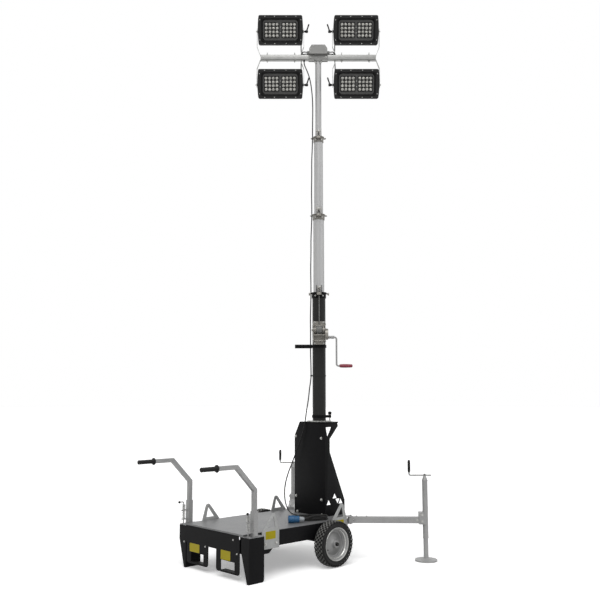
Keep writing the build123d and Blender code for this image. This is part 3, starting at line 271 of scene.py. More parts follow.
def make_finish(name, colour, roughness, metallic=0.0, tone=0.1, patches=4.0, drawn=(1, 1, 1), spangle=0.0,
                spangle_tone=0.0, grain=700.0, relief=0.1, scuffs=0.0, dust=0.0, gloss=0.5, groove_shade_radii=None):
    """One procedural material on Object coordinates, from a line of FINISHES."""
    material, tree, shader = new_material(name)
    set_inputs(shader, {"Metallic": metallic, "Specular IOR Level": gloss})
    place = put(tree, "TexCoord").outputs["Object"]
    along = put(tree, "Mapping", {"Vector": place, "Scale": drawn}).outputs["Vector"]
    cloud = put(tree, "TexNoise", {"Vector": along, "Scale": patches, "Detail": 7.0, "Roughness": 0.62})
    fine = put(tree, "TexNoise", {"Vector": place, "Scale": grain, "Detail": 2.0}).outputs["Fac"]
    look = ramp(tree, cloud.outputs["Fac"], 0.3, 0.7, tinted(colour, 1 - tone), tinted(colour, 1 + tone))
    height = fine
    if spangle:
        crystal = put(tree, "TexVoronoi", {"Vector": place, "Scale": spangle, "Randomness": 1.0})
        grey = put(tree, "SeparateColor", {"Color": crystal.outputs["Color"]}).outputs[0]
        tint = ramp(tree, grey, 0.0, 1.0, (1 - spangle_tone,) * 3 + (1,))
        look = mixed(tree, 1.0, look, tint, "MULTIPLY")
        height = put(tree, "Math", {0: fine, 1: grey}, operation="ADD").outputs[0]
    if scuffs:
        marks = put(tree, "TexNoise", {"Vector": along, "Scale": 26.0, "Detail": 12.0, "Roughness": 0.78})
        worn = ramp(tree, marks.outputs["Fac"], 0.60, 0.74, BLACK, (scuffs,) * 3 + (1,))
        look = mixed(tree, worn, look, tinted([c * 0.8 + 0.12 for c in colour], 1.0))
    if dust:
        up = put(tree, "NewGeometry").outputs["Normal"]
        rise = put(tree, "SeparateXYZ", {0: up}).outputs["Z"]
        film = ramp(tree, rise, 0.2, 1.0, BLACK, (dust,) * 3 + (1,))
        look = mixed(tree, film, look, (0.35, 0.34, 0.32, 1))
    # Painted shade: below the first radius the colour falls to near black, low in the grooves between the tread blocks
    if groove_shade_radii:
        wheel = put(tree, "Mapping", {"Vector": place, "Location": tuple(-AXLE), "Scale": (1, 0, 1)})
        reach = put(tree, "VectorMath", {0: wheel.outputs[0]}, operation="LENGTH").outputs["Value"]
        look = mixed(tree, ramp(tree, reach, *groove_shade_radii), tinted(colour, 0.06), look)
    tree.links.new(look, shader.inputs["Base Color"])
    low, high = roughness
    uneven = put(tree, "MapRange", {0: cloud.outputs["Fac"], 1: 0.25, 2: 0.75, 3: low, 4: high})
    tree.links.new(uneven.outputs[0], shader.inputs["Roughness"])
    bump = put(tree, "Bump", {"Strength": relief, "Distance": 0.001, "Height": height})
    tree.links.new(bump.outputs[0], shader.inputs["Normal"])
    return material


def make_lens(name):
    """Clear moulded plastic of a lens, with slight uneven patches and bumps."""
    material, tree, shader = new_material(name)
    set_inputs(shader, {"IOR": 1.49, "Transmission Weight": 0.25})
    place = put(tree, "TexCoord").outputs["Object"]
    cloud = put(tree, "TexNoise", {"Vector": place, "Scale": 45.0, "Detail": 4.0}).outputs["Fac"]
    look = ramp(tree, cloud, 0.35, 0.65, (0.52, 0.51, 0.47, 1), (0.85, 0.84, 0.79, 1))
    tree.links.new(look, shader.inputs["Base Color"])
    uneven = put(tree, "MapRange", {0: cloud, 3: 0.08, 4: 0.22})
    tree.links.new(uneven.outputs[0], shader.inputs["Roughness"])
    bump = put(tree, "Bump", {"Strength": 0.1, "Distance": 0.001, "Height": cloud})
    tree.links.new(bump.outputs[0], shader.inputs["Normal"])
    return material


def finish(name):
    """The named material, made once."""
    if name in bpy.data.materials:
        return bpy.data.materials[name]
    if name == "lens_clear":
        return make_lens(name)
    colour, recipe = FINISHES[name]
    return make_finish(name, tuple(getattr(colours(), colour)), **recipe)


# Which finish each CAD node has
CAD_FINISHES = {
    "deck_zinc": "deck",
    "eye_zinc": "lifting_eyes",
    "tube_zinc": "arm_left arm_right arm_brackets jack_tube_left jack_tube_right jack_leg_left "
                 "jack_leg_right handle_left handle_right",
    "bright_zinc": "index_ring handle_latch_left handle_latch_right",
    "rod_zinc": "wire_rope jack_crank_left jack_crank_right winch_crank",
    "winch_zinc": "winch",
    "black_paint": "corner_legs apron side_plates mast_stand axle turning_bar index_plunger collar_0 "
                   "collar_1 collar_2",
    "mast_paint": "mast_tube cable_clip",
    "section_aluminium": "section_1 section_2 section_3",
    "bar_aluminium": "crossbar lamp_yokes",
    "box_casting": "junction_box",
    "lamp_casting": "lamp_1 lamp_2 lamp_3 lamp_4",
    "moulded_plastic": "lamp_levers",
    "grip_rubber": "handle_grip_left handle_grip_right",
    "cable_sheath": "cable_0 cable_1 cable_2 cable_3 cable_lower cable_coil cable_tail lead_1 lead_2 lead_3 lead_4",
    "tyre_compound": "tyre_left tyre_right",
    "rim_paint": "rim_left rim_right",
    "plug_plastic": "plug",
}


# Mesh making

def at(x=0.0, y=0.0, z=0.0):
    """A move by x, y and z."""
    return Matrix.Translation((x, y, z))


def turned(degrees, axis):
    """A turn about X, Y or Z."""
    return Matrix.Rotation(math.radians(degrees), 4, axis)


def polar(radius, turn, z=0.0):
    """A point from its radius, its turn and its height."""
    return Vector((radius * math.cos(turn), radius * math.sin(turn), z))


def mm(*points):
    """Points given in millimetres."""
    return [tuple(c * 0.001 for c in point) for point in points]


def place_on(start, end):
    """A matrix at start whose Z runs towards end."""
    along = Vector(end) - Vector(start)
    return Matrix.Translation(start) @ along.to_track_quat("Z", "Y").to_matrix().to_4x4()


def linked(name, data):
    """A new object in the scene."""
    thing = bpy.data.objects.new(name, data)
    bpy.context.scene.collection.objects.link(thing)
    return thing


def baked(holder):
    """The final mesh of an object, which is then removed."""
    bpy.context.view_layer.update()
    mesh = bpy.data.meshes.new_from_object(holder.evaluated_get(bpy.context.evaluated_depsgraph_get()))
    bpy.data.objects.remove(holder)
    return mesh


# Outlines stand upright in UPRIGHT, and face the front of the trolley in AHEAD or a lamp's front in FACING
UPRIGHT = turned(90, "X")
AHEAD = turned(90, "Z") @ UPRIGHT
FACING = turned(-90, "Y") @ turned(90, "Z")


class Shape:
    """Gathers the faces of one mesh, each with the number of its material."""

    def __init__(self):
        self.bm = bmesh.new()

    def bridge(self, low, high, material):
        count = max(len(low), len(high))
        for k in range(count):
            n = (k + 1) % count
            corners = [low[k % len(low)], low[n % len(low)], high[n % len(high)], high[k % len(high)]]
            corners = [v for i, v in enumerate(corners) if v not in corners[:i]]
            if len(corners) > 2:
                self.bm.faces.new(corners).material_index = material

    def ring(self, points):
        return [self.bm.verts.new(p) for p in points]

    def lathe(self, profile, matrix, segments=32, material=0, shut=False):
        """Turns (radius, height) points round the matrix's Z axis."""
        turns = [2 * math.pi * k / segments for k in range(segments)]
        rings = [self.ring(matrix @ polar(r, t, z) for t in (turns if r > 1e-6 else [0.0])) for r, z in profile]
        for low, high in zip(rings, rings[1:] + rings[:1] if shut else rings[1:]):
            self.bridge(low, high, material)

    def rod(self, start, end, diameter, segments=16, material=0, edge=0.0008):
        """A round bar with a small chamfer at each end."""
        r, h = diameter / 2, (Vector(end) - Vector(start)).length
        profile = [(0, 0), (r - edge, 0), (r, edge), (r, h - edge), (r - edge, h), (0, h)]
        self.lathe(profile, place_on(start, end), segments, material)

    def tube(self, points, radius, segments=10, material=0, closed=False):
        """A round tube that follows points."""
        points = [Vector(p) for p in points]
        count = len(points)
        rings, across = [], None
        for k, point in enumerate(points):
            before = points[k - 1] if k or closed else point
            after = points[(k + 1) % count] if k + 1 < count or closed else point
            along = (after - before).normalized()
            if across is None:
                across = along.orthogonal().normalized()
            across = (across - along * across.dot(along)).normalized()
            side = along.cross(across)
            turns = [2 * math.pi * n / segments for n in range(segments)]
            rings.append(self.ring(point + radius * (across * math.cos(t) + side * math.sin(t)) for t in turns))
        if closed:
            rings.append(rings[0])
        else:
            rings = [self.ring(points[:1])] + rings + [self.ring(points[-1:])]
        for low, high in zip(rings, rings[1:]):
            self.bridge(low, high, material)

    def block(self, size, matrix, material=0, edge=0.001):
        """A block about the matrix's origin, with rounded edges."""
        before = set(self.bm.faces)
        made = bmesh.ops.create_cube(self.bm, size=1, matrix=matrix @ Matrix.Diagonal((*size, 1)))
        edges = list({e for v in made["verts"] for e in v.link_edges})
        bmesh.ops.bevel(self.bm, geom=edges, offset=edge, segments=2, profile=0.5, affect="EDGES")
        for face in self.bm.faces:
            if face not in before:
                face.material_index = material

    def plate(self, outline, depth, matrix, material=0):
        """A flat sheet from an outline in the matrix's XY plane, depth thick along Z."""
        low, high = (self.ring(matrix @ Vector((x, y, z)) for x, y in outline) for z in (0, depth))
        self.bridge(low, high, material)
        for face in (low[::-1], high):
            self.bm.faces.new(face).material_index = material

    def sheet(self, outlines, depth, matrix, material=0, edge=0.0006):
        """A flat sheet with openings, from closed outlines in the matrix's XY plane, with softened edges."""
        curve = bpy.data.curves.new("sheet", "CURVE")
        curve.dimensions, curve.fill_mode = "2D", "BOTH"
        curve.extrude, curve.bevel_depth, curve.bevel_resolution, curve.offset = depth / 2 - edge, edge, 1, -edge
        for outline in outlines:
            spline = curve.splines.new("POLY")
            spline.points.add(len(outline) - 1)
            for knot, (x, y) in zip(spline.points, outline):
                knot.co = (x, y, 0, 1)
            spline.use_cyclic_u = True
        flat = baked(linked("sheet", curve))
        flat.transform(matrix)
        before = len(self.bm.faces)
        self.bm.from_mesh(flat)
        self.bm.faces.ensure_lookup_table()
        for face in self.bm.faces[before:]:
            face.material_index = material

    def mesh(self, name):
        bmesh.ops.remove_doubles(self.bm, verts=self.bm.verts, dist=1e-6)
        bmesh.ops.recalc_face_normals(self.bm, faces=self.bm.faces)
        mesh = bpy.data.meshes.new(name)
        self.bm.to_mesh(mesh)
        self.bm.free()
        mesh.shade_smooth()
        mesh.set_sharp_from_angle(angle=SHARP)
        return mesh


def shown(name, mesh, materials):
    """An object at the origin for a finished mesh."""
    for material in materials if not mesh.materials else ():
        mesh.materials.append(finish(material))
    return linked(name, mesh)


def fit(name, shape, materials, body, replaces=()):
    """Turns a shape into a piece that rides on a body."""
    piece = shown(name, shape.mesh(name), materials)
    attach(piece, body)
    if replaces:
        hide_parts(*replaces)
    return piece


def rounded(width, height, radius, steps=6):
    """Corners of a rounded rectangle about the origin."""
    points = []
    for quarter, (sx, sy) in enumerate([(1, 1), (-1, 1), (-1, -1), (1, -1)]):
        for k in range(steps + 1):
            turn = math.pi / 2 * (quarter + k / steps)
            x = sx * (width / 2 - radius) + radius * math.cos(turn)
            points.append((x, sy * (height / 2 - radius) + radius * math.sin(turn)))
    return points


def bend_line(points, radius, steps=7):
    """Corner points joined with round bends."""
    points = [Vector(p) for p in points]
    line = [points[0]]
    for a, b, c in zip(points, points[1:], points[2:]):
        first, second = (a - b).normalized(), (c - b).normalized()
        half = first.angle(second) / 2
        cut = radius / math.tan(half)
        centre = b + (first + second).normalized() * (radius / math.sin(half))
        start, end = (b + first * cut - centre) / radius, (b + second * cut - centre) / radius
        line += [centre + start.slerp(end, k / steps) * radius for k in range(steps + 1)]
    return line + [points[-1]]


def helix(start, end, radius, turns, steps=14, phase=0.0):
    """Points of a helix about the line from start to end."""
    place = place_on(start, end)
    span = (Vector(end) - Vector(start)).length
    count = int(turns * steps)
    shares = [k / count for k in range(count + 1)]
    return [place @ polar(radius, 2 * math.pi * turns * s + phase, span * s) for s in shares]


def cord_mesh(name, points, diameter):
    """The tube of a cord and the points that it follows, both read from its NURBS spline."""
    curve = bpy.data.curves.new(name, "CURVE")
    curve.dimensions, curve.resolution_u = "3D", 8
    spline = curve.splines.new("NURBS")
    spline.points.add(len(points) - 1)
    for knot, place in zip(spline.points, points):
        knot.co = (*place, 1)
    spline.order_u, spline.use_endpoint_u = 3, True
    holder = linked(name, curve)
    line = [v.co.copy() for v in bpy.data.meshes.new_from_object(holder).vertices]
    curve.bevel_depth, curve.bevel_resolution, curve.use_fill_caps = diameter / 2, 3, True
    tube = baked(holder)
    tube.name = name
    tube.shade_smooth()
    return tube, line


def cord(name, route, diameter, bodies, replaces):
    """A cable on its route. On one body it rides on that body; on two bodies it is left fixed in place."""
    tube, line = cord_mesh(name, [tuple(place) for place in route], diameter)
    piece = shown(name, tube, ["cable_sheath"])
    if len(bodies) == 1:
        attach(piece, bodies[0])
    else:
        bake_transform(piece)
    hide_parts(*replaces)
    return piece, line


# Geometry Nodes for what repeats: a small shape on every point of a mesh

def repeat_tree(name, inputs, build):
    """A tree that puts the shape from build on each point, turned to its out and along vectors."""
    tree = bpy.data.node_groups.new(name, "GeometryNodeTree")
    face = tree.interface
    face.new_socket("Points", in_out="INPUT", socket_type="NodeSocketGeometry")
    for label, value in inputs.items():
        face.new_socket(label, in_out="INPUT", socket_type="NodeSocketFloat").default_value = value
    face.new_socket("Material", in_out="INPUT", socket_type="NodeSocketMaterial")
    face.new_socket("Geometry", in_out="OUTPUT", socket_type="NodeSocketGeometry")
    given = put(tree, "NodeGroupInput").outputs
    unit = build(tree, given)

    def stored(label, kind):
        node = put(tree, "GeometryNodeInputNamedAttribute", {"Name": label}, data_type=kind)
        return next(o for o in node.outputs if o.enabled and o.name == "Attribute")

    out = put(tree, "FunctionNodeAlignRotationToVector", {"Vector": stored("out", "FLOAT_VECTOR")}, axis="Z")
    spun = put(tree, "FunctionNodeAlignRotationToVector",
               {"Rotation": out.outputs[0], "Vector": stored("along", "FLOAT_VECTOR")}, axis="X", pivot_axis="Z")
    placed = put(tree, "GeometryNodeInstanceOnPoints", {
        "Points": given["Points"], "Instance": unit, "Rotation": spun.outputs[0], "Scale": stored("scale", "FLOAT")})
    real = put(tree, "GeometryNodeRealizeInstances", {"Geometry": placed.outputs[0]})
    done = put(tree, "GeometryNodeSetMaterial", {"Geometry": real.outputs[0], "Material": given["Material"]})
    put(tree, "NodeGroupOutput", {"Geometry": done.outputs[0]})
    return tree


def part_of(tree, value, share=0.5):
    """A value times a share, half unless given."""
    return put(tree, "Math", {0: value, 1: share}, operation="MULTIPLY").outputs[0]


def xyz(tree, x=0.0, y=0.0, z=0.0):
    return put(tree, "CombineXYZ", {0: x, 1: y, 2: z}).outputs[0]


def cone(tree, sides, low, high, depth):
    inputs = {"Vertices": sides, "Radius Bottom": low, "Radius Top": high, "Depth": depth}
    return put(tree, "GeometryNodeMeshCone", inputs).outputs[0]


def moved(tree, mesh, **how):
    inputs = {"Geometry": mesh, **{key.title(): value for key, value in how.items()}}
    return put(tree, "GeometryNodeTransform", inputs).outputs[0]


def joined(tree, *meshes):
    node = put(tree, "GeometryNodeJoinGeometry")
    for mesh in reversed(meshes):
        tree.links.new(mesh, node.inputs[0])
    return node.outputs[0]


def hex_bolt(tree, given):
    """A washer with a chamfered hexagon head on it."""
    width, tall, under = given["Head"], given["Head Height"], part_of(tree, given["Washer Height"])
    washer = put(tree, "GeometryNodeMeshCylinder", {
        "Vertices": 20, "Radius": part_of(tree, given["Washer"]), "Depth": given["Washer Height"]})
    head = cone(tree, 6, part_of(tree, width, 0.577), part_of(tree, width, 0.55), tall)
    top = cone(tree, 12, part_of(tree, width, 0.5), part_of(tree, width, 0.4), part_of(tree, tall, 0.18))
    over = put(tree, "Math", {0: under, 1: tall}, operation="ADD").outputs[0]
    return joined(tree, moved(tree, washer.outputs[0]), moved(tree, head, translation=xyz(tree, z=under)),
                  moved(tree, top, translation=xyz(tree, z=over)))


def pan_screw(tree, given):
    """A low domed head."""
    width, tall = given["Head"], given["Head Height"]
    rim = cone(tree, 16, part_of(tree, width), part_of(tree, width, 0.42), part_of(tree, tall, 0.7))
    cap = cone(tree, 16, part_of(tree, width, 0.42), part_of(tree, width, 0.22), part_of(tree, tall, 0.3))
    return joined(tree, rim, moved(tree, cap, translation=xyz(tree, z=part_of(tree, tall, 0.7))))


def tread_block(tree, given):
    """A tapered rubber block."""
    square = moved(tree, cone(tree, 4, 0.7071, 0.60, given["Depth"]), rotation=(0, 0, math.radians(45)))
    return moved(tree, square, scale=xyz(tree, given["Length"], given["Width"], 1.0))


def dome_lens(tree, given):
    """A moulded lens: a dome on a short ring."""
    width = given["Lens"]
    dome = put(tree, "GeometryNodeMeshUVSphere", {"Segments": 16, "Rings": 8, "Radius": part_of(tree, width, 0.46)})
    ring = cone(tree, 16, part_of(tree, width), part_of(tree, width, 0.46), given["Ring Height"])
    return joined(tree, ring, moved(tree, dome.outputs[0], scale=(1, 1, 0.5)))


REPEATS = {
    "bolt": ("Hexagon bolts", {"Head": 0.017, "Head Height": 0.009, "Washer": 0.026, "Washer Height": 0.003}, hex_bolt),
    "screw": ("Pan screws", {"Head": 0.010, "Head Height": 0.004}, pan_screw),
    "tread": ("Tread blocks", {"Length": 0.020, "Width": 0.015, "Depth": 0.010}, tread_block),
    "lens": ("Lenses", {"Lens": 0.031, "Ring Height": 0.002}, dome_lens),
}


def repeat(name, kind, spots, values, material, body):
    """Grows one repeated shape on (place, out, along, scale) spots and leaves a plain mesh."""
    label, defaults, build = REPEATS[kind]
    tree = bpy.data.node_groups.get(label) or repeat_tree(label, defaults, build)
    points = bpy.data.meshes.new(name)
    points.from_pydata([tuple(s[0]) for s in spots], [], [])
    for key, column in (("out", 1), ("along", 2)):
        stored = points.attributes.new(key, "FLOAT_VECTOR", "POINT")
        stored.data.foreach_set("vector", [c for s in spots for c in s[column]])
    points.attributes.new("scale", "FLOAT", "POINT").data.foreach_set("value", [s[3] for s in spots])
    seed = linked(name, points)
    grower = seed.modifiers.new(label, "NODES")
    grower.node_group = tree
    for item in tree.interface.items_tree:
        if item.in_out == "INPUT" and item.name in values:
            grower[item.identifier] = values[item.name]
        elif item.in_out == "INPUT" and item.name == "Material":
            grower[item.identifier] = finish(material)
    mesh = baked(seed)
    mesh.name = name
    mesh.shade_smooth()
    mesh.set_sharp_from_angle(angle=SHARP)
    piece = shown(name, mesh, [material])
    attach(piece, body)


def bolts(name, spots, body):
    repeat(name, "bolt", spots, {"Head": sizes().bolt}, "bright_zinc", body)


def screws(name, spots, body):
    repeat(name, "screw", spots, {"Head": sizes().screw}, "bright_zinc", body)


def spot(place, out, scale=1.0):
    """A spot for a repeated shape, facing out."""
    out = Vector(out).normalized()
    return Vector(place), out, out.orthogonal(), scale


def mast_place(front, across, z):
    """A point given in front of the mast, to the viewer's right of it, and its height."""
    return ON_MAST @ Vector((-front, -across, z))


def mast_out(front, across, z):
    """A direction given as mast_place gives a point."""
    return ON_MAST.to_3x3() @ Vector((-front, -across, z))


def mast_spot(front, across, z, scale, facing=(1, 0, 0)):
    return spot(mast_place(front, across, z), mast_out(*facing), scale)


def across_mast(front, across, z):
    """A matrix whose Z runs across the mast, to the viewer's right."""
    return place_on(mast_place(front, across, z), mast_place(front, across + 0.1, z))


def lamp_pivot(column, row):
    """A lamp's tilt axis, in the mast's frame."""
    return Vector((0, column * LAMP_ACROSS, BAR_Z + row * LAMP_RISE))


def arm_pivot(sign, z=0.0):
    return Vector((ARM_PIVOT[0], sign * ARM_PIVOT[1], z))


def collar_body(number):
    return f"section_{number}" if number else "mast"


# Operators

class TOWER_OT_stage(bpy.types.Operator):
    """Floor, soft lights, white surroundings and the camera"""
    bl_idname = "tower.stage"
    bl_label = "Studio and camera"

    def execute(self, context):
        scene, stage = context.scene, context.scene.tower_stage
        scene.view_settings.view_transform = "Standard"
        camera = linked("camera", bpy.data.cameras.new("camera"))
        camera.data.lens, camera.data.sensor_width, camera.data.clip_end = stage.lens, 36.0, 200.0
        camera.location = (-4.784, -5.439, 1.531)
        camera.rotation_euler = (math.radians(96.961), 0, math.radians(-43.192))
        scene.camera = camera

        world = bpy.data.worlds.new("studio")
        world.use_nodes = True
        scene.world = world
        tree = world.node_tree
        tree.nodes.clear()
        seen = self.seen(tree)
        soft, white = (put(tree, "Background", {"Color": WHITE, "Strength": strength}).outputs[0]
                       for strength in (stage.ambient, 1.0))
        both = put(tree, "MixShader", {0: seen, 1: soft, 2: white})
        put(tree, "OutputWorld", {0: both.outputs[0]})

        for name, place, spread, strength in (("key", (-4.5, -3.5, 8.0), 50, stage.key),
                                              ("fill", (4.0, -7.0, 5.0), 60, stage.fill)):
            light = bpy.data.lights.new(name, "SUN")
            light.angle, light.energy = math.radians(spread), strength
            holder = linked(name, light)
            holder.location = place
            holder.rotation_euler = (-Vector(place)).to_track_quat("-Z", "Y").to_euler()

        shape = Shape()
        shape.lathe([(0, 0), (8, 0), (80, 0)], at(z=-0.001), 64)
        mesh = shape.mesh("floor")
        mesh.materials.append(self.floor_paint(tuple(stage.floor)))
        linked("floor", mesh)
        return {"FINISHED"}

    @staticmethod
    def seen(tree):
        """One for the rays of the camera, of gloss and of glass, which see a white background."""
        rays = put(tree, "LightPath").outputs
        seen = rays["Is Camera Ray"]
        for ray in ("Is Transmission Ray", "Is Glossy Ray"):
            seen = put(tree, "Math", {0: seen, 1: rays[ray]}, operation="MAXIMUM").outputs[0]
        return seen

    def floor_paint(self, plain):
        """White to the camera, and a plain grey to the light that the floor throws back."""
        material, tree, shader = new_material("studio_floor")
        set_inputs(shader, {"Roughness": 0.8, "Specular IOR Level": 0.2, "Emission Color": WHITE})
        place = put(tree, "TexCoord").outputs["Object"]
        cloud = put(tree, "TexNoise", {"Vector": place, "Scale": 1.5, "Detail": 4.0}).outputs["Fac"]
        look = ramp(tree, cloud, 0.3, 0.7, tinted(plain, 0.99), tinted(plain, 1.01))
        seen = self.seen(tree)
        tree.links.new(mixed(tree, seen, look, WHITE), shader.inputs["Base Color"])
        tree.links.new(part_of(tree, seen, 0.30), shader.inputs["Emission Strength"])
        return material


class TOWER_OT_finishes(bpy.types.Operator):
    """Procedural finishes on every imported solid"""
    bl_idname = "tower.finishes"
    bl_label = "Finishes of the solids"

    def execute(self, context):
        for name, nodes in CAD_FINISHES.items():
            for node in nodes.split():
                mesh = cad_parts[node].data
                mesh.materials.clear()
                mesh.materials.append(finish(name))
        return {"FINISHED"}


# The free cable's route from the clip on the mast to the coil, as in the part's source
FREE_ROUTE = [
    (0.5442, 0.0755, 1.6994), (0.5412, 0.0795, 1.646), (0.526, 0.078, 1.590), (0.502, 0.062, 1.526),
    (0.479, 0.051, 1.452), (0.458, 0.049, 1.374), (0.441, 0.046, 1.296), (0.430, 0.053, 1.222),
    (0.427, 0.072, 1.150), (0.422, 0.106, 1.072), (0.417, 0.147, 0.986), (0.412, 0.182, 0.905),
    (0.404, 0.216, 0.830), (0.394, 0.249, 0.752), (0.383, 0.268, 0.678), (0.369, 0.271, 0.606),
    (0.357, 0.258, 0.538), (0.345, 0.232, 0.478), (0.334, 0.192, 0.430), (0.321, 0.143, 0.400),
    (0.310, 0.088, 0.3898), (0.302, 0.030, 0.3878), (0.293, -0.030, 0.3878),
]
# The loose coil, in its own frame: where the cable comes in and goes out, and the turns that climb a layer
COIL_CENTRE = Vector((0.2453, -0.2350, 0.0))
COIL_TURN = math.radians(-25)
COIL_STRAIGHT, COIL_REACH = 0.074, 0.0885
COIL_START, COIL_STEPS = 0.06, 16
COIL_CLIMBS = ((2.30, 2.55), (4.60, 4.85))
COIL_ENTRY = [(-0.034, 0.166), (-0.018, 0.131), (0.008, 0.107), (0.042, 0.093)]
COIL_EXIT = [(-0.040, -0.092, 0.4205), (-0.070, -0.113, 0.419), (-0.100, -0.131, 0.416)]
PLUG_TAIL = (0.0744, -0.3219, 0.415)


def coil_place(x, y, z):
    """A point from places along and across the coil."""
    return COIL_CENTRE + Matrix.Rotation(COIL_TURN, 3, "Z") @ Vector((x, y, 0)) + Vector((0, 0, z))


def coil_point(turns, low):
    """A point of the loose coil after some turns, clockwise from its far side."""
    sized = sizes()
    (first, second), (third, fourth) = COIL_CLIMBS
    steps = -min(turns, first) + max(0.0, min(turns, third) - second) - 0.8 * max(0.0, turns - fourth)
    reach = COIL_REACH + sized.coil_pitch * steps
    layer = sum(min(1.0, max(0.0, (turns - a) / (b - a))) for a, b in COIL_CLIMBS)
    layer += min(1.0, max(0.0, (turns - sized.coil_turns + 0.34) / 0.2))
    turn = math.pi / 2 - 2 * math.pi * turns
    stretch = COIL_STRAIGHT + 0.004 * math.sin(1.3 * turns)
    lean = math.radians(3.0) * math.sin(0.9 * turns) * (layer > 0)
    stretched = polar(reach, turn) + Vector((stretch * math.tanh(1.6 * math.cos(turn)), 0, 0))
    flat = Matrix.Rotation(lean, 3, "Z") @ stretched
    return coil_place(flat.x, flat.y, low + layer * sized.coil_layer)


class TOWER_OT_supply_cable(bpy.types.Operator):
    """The free supply cable: down from the mast, over the deck, a loose coil and the plug"""
    bl_idname = "tower.supply_cable"
    bl_label = "Supply cable and plug"

    def execute(self, context):
        sized = sizes()
        low = DECK_TOP + sized.cable / 2 + 0.0005
        count = int((sized.coil_turns - COIL_START) * COIL_STEPS)
        route = FREE_ROUTE + [coil_place(x, y, low) for x, y in COIL_ENTRY]
        route += [coil_point(COIL_START + k / COIL_STEPS, low) for k in range(count + 1)]
        route += [coil_place(*place) for place in COIL_EXIT] + [PLUG_TAIL]
        cable, line = cord("supply_cable", route, sized.cable, ("trolley", "mast"),
                           ["cable_lower", "cable_coil", "cable_tail"])
        plug = self.plug()
        return {"FINISHED"}

    def plug(self):
        """Blue plug with a ribbed collar, a locking cap and a grey clamp at its tail."""
        tail = Vector(PLUG_TAIL)
        place = place_on(tail - polar(0.146, math.radians(-38)), tail)
        shape = Shape()
        shape.lathe(mm((0, 12), (24, 12), (24.5, 1), (26, 0), (31.8, 0), (33, 2), (33, 7), (31.8, 9), (31.5, 40),
                       (32.5, 42), (32.5, 50), (31, 52), (30.5, 56), (29.5, 94), (28, 100), (22, 100.5)), place, 40, 0)
        shape.lathe(mm((22, 99.5), (22.5, 102), (22.5, 112), (20.5, 115), (20.5, 130), (18.5, 138), (12, 145.5),
                       (6.2, 146), (6.2, 140), (0, 140)), place, 24, 1)
        for count, radius, z, size, material, edge in ((18, 0.0308, 0.024, (0.0022, 0.003, 0.026), 0, 0.0006),
                                                       (12, 0.0224, 0.107, (0.0014, 0.004, 0.009), 1, 0.0004)):
            for k in range(count):
                shape.block(size, place @ turned(360 * k / count, "Z") @ at(radius, 0, z), material, edge)
        shape.block((0.0035, 0.010, 0.052), place @ turned(100, "Z") @ at(0.0318, 0, 0.030), 0, 0.001)
        for degrees, pin in ((90, 0.0065), (210, 0.005), (330, 0.005)):
            foot = place @ turned(degrees, "Z") @ at(0.013)
            shape.rod(foot @ Vector((0, 0, 0.001)), foot @ Vector((0, 0, 0.013)), pin, 12, 2)
        return fit("plug_detailed", shape, ["plug_plastic", "plug_clamp", "bright_zinc"], "trolley",
                   ["plug"])


# The held cable up the mast: the bodies of each run, how it bows between two guides, and its route from the
# highest guide to the crossbar, as (front, across, height) of the mast
CABLE_BODIES = [("mast",), ("mast", "section_1"), ("section_1", "section_2"), ("section_2", "section_3")]
CABLE_BOW = [(0.0, 0.0), (0.12, 0.001), (0.3, 0.006), (0.52, 0.004), (0.7, 0.007), (0.88, 0.001), (1.0, 0.0)]
HEAD_ROUTE = [
    (-0.0221, -0.0606, 4.1483), (-0.023, -0.060, 4.2897), (-0.025, -0.057, 4.4197), (-0.027, -0.058, 4.5447),
    (-0.030, -0.066, 4.6547), (-0.033, -0.078, 4.7497), (-0.032, -0.097, 4.8297), (-0.025, -0.120, 4.8877),
    (-0.016, -0.140, 4.9277), (-0.012, -0.147, 4.9537), (-0.012, -0.147, 4.9717),
]
# A lead's route in millimetres, from the gland of an upper or lower lamp and then back from the junction box
LEAD_START = {1: [(0, 0, 0), (28, 0, 9), (50, 0, 2), (62, 0, -20), (62, 0, -50), (54, -2, -84)],
              -1: [(0, 0, 0), (30, 0, 10), (52, 0, 30), (62, 0, 62), (65, 0, 104), (66, -2, 155), (66, -6, 206)]}
LEAD_END = {1: [(40, 50, 22), (16, 38, 2), (0, 16, 0), (0, 0, 0)],
            -1: [(44, 54, -6), (22, 47, 4), (4, 32, 6), (0, 16, 0), (0, 0, 0)]}


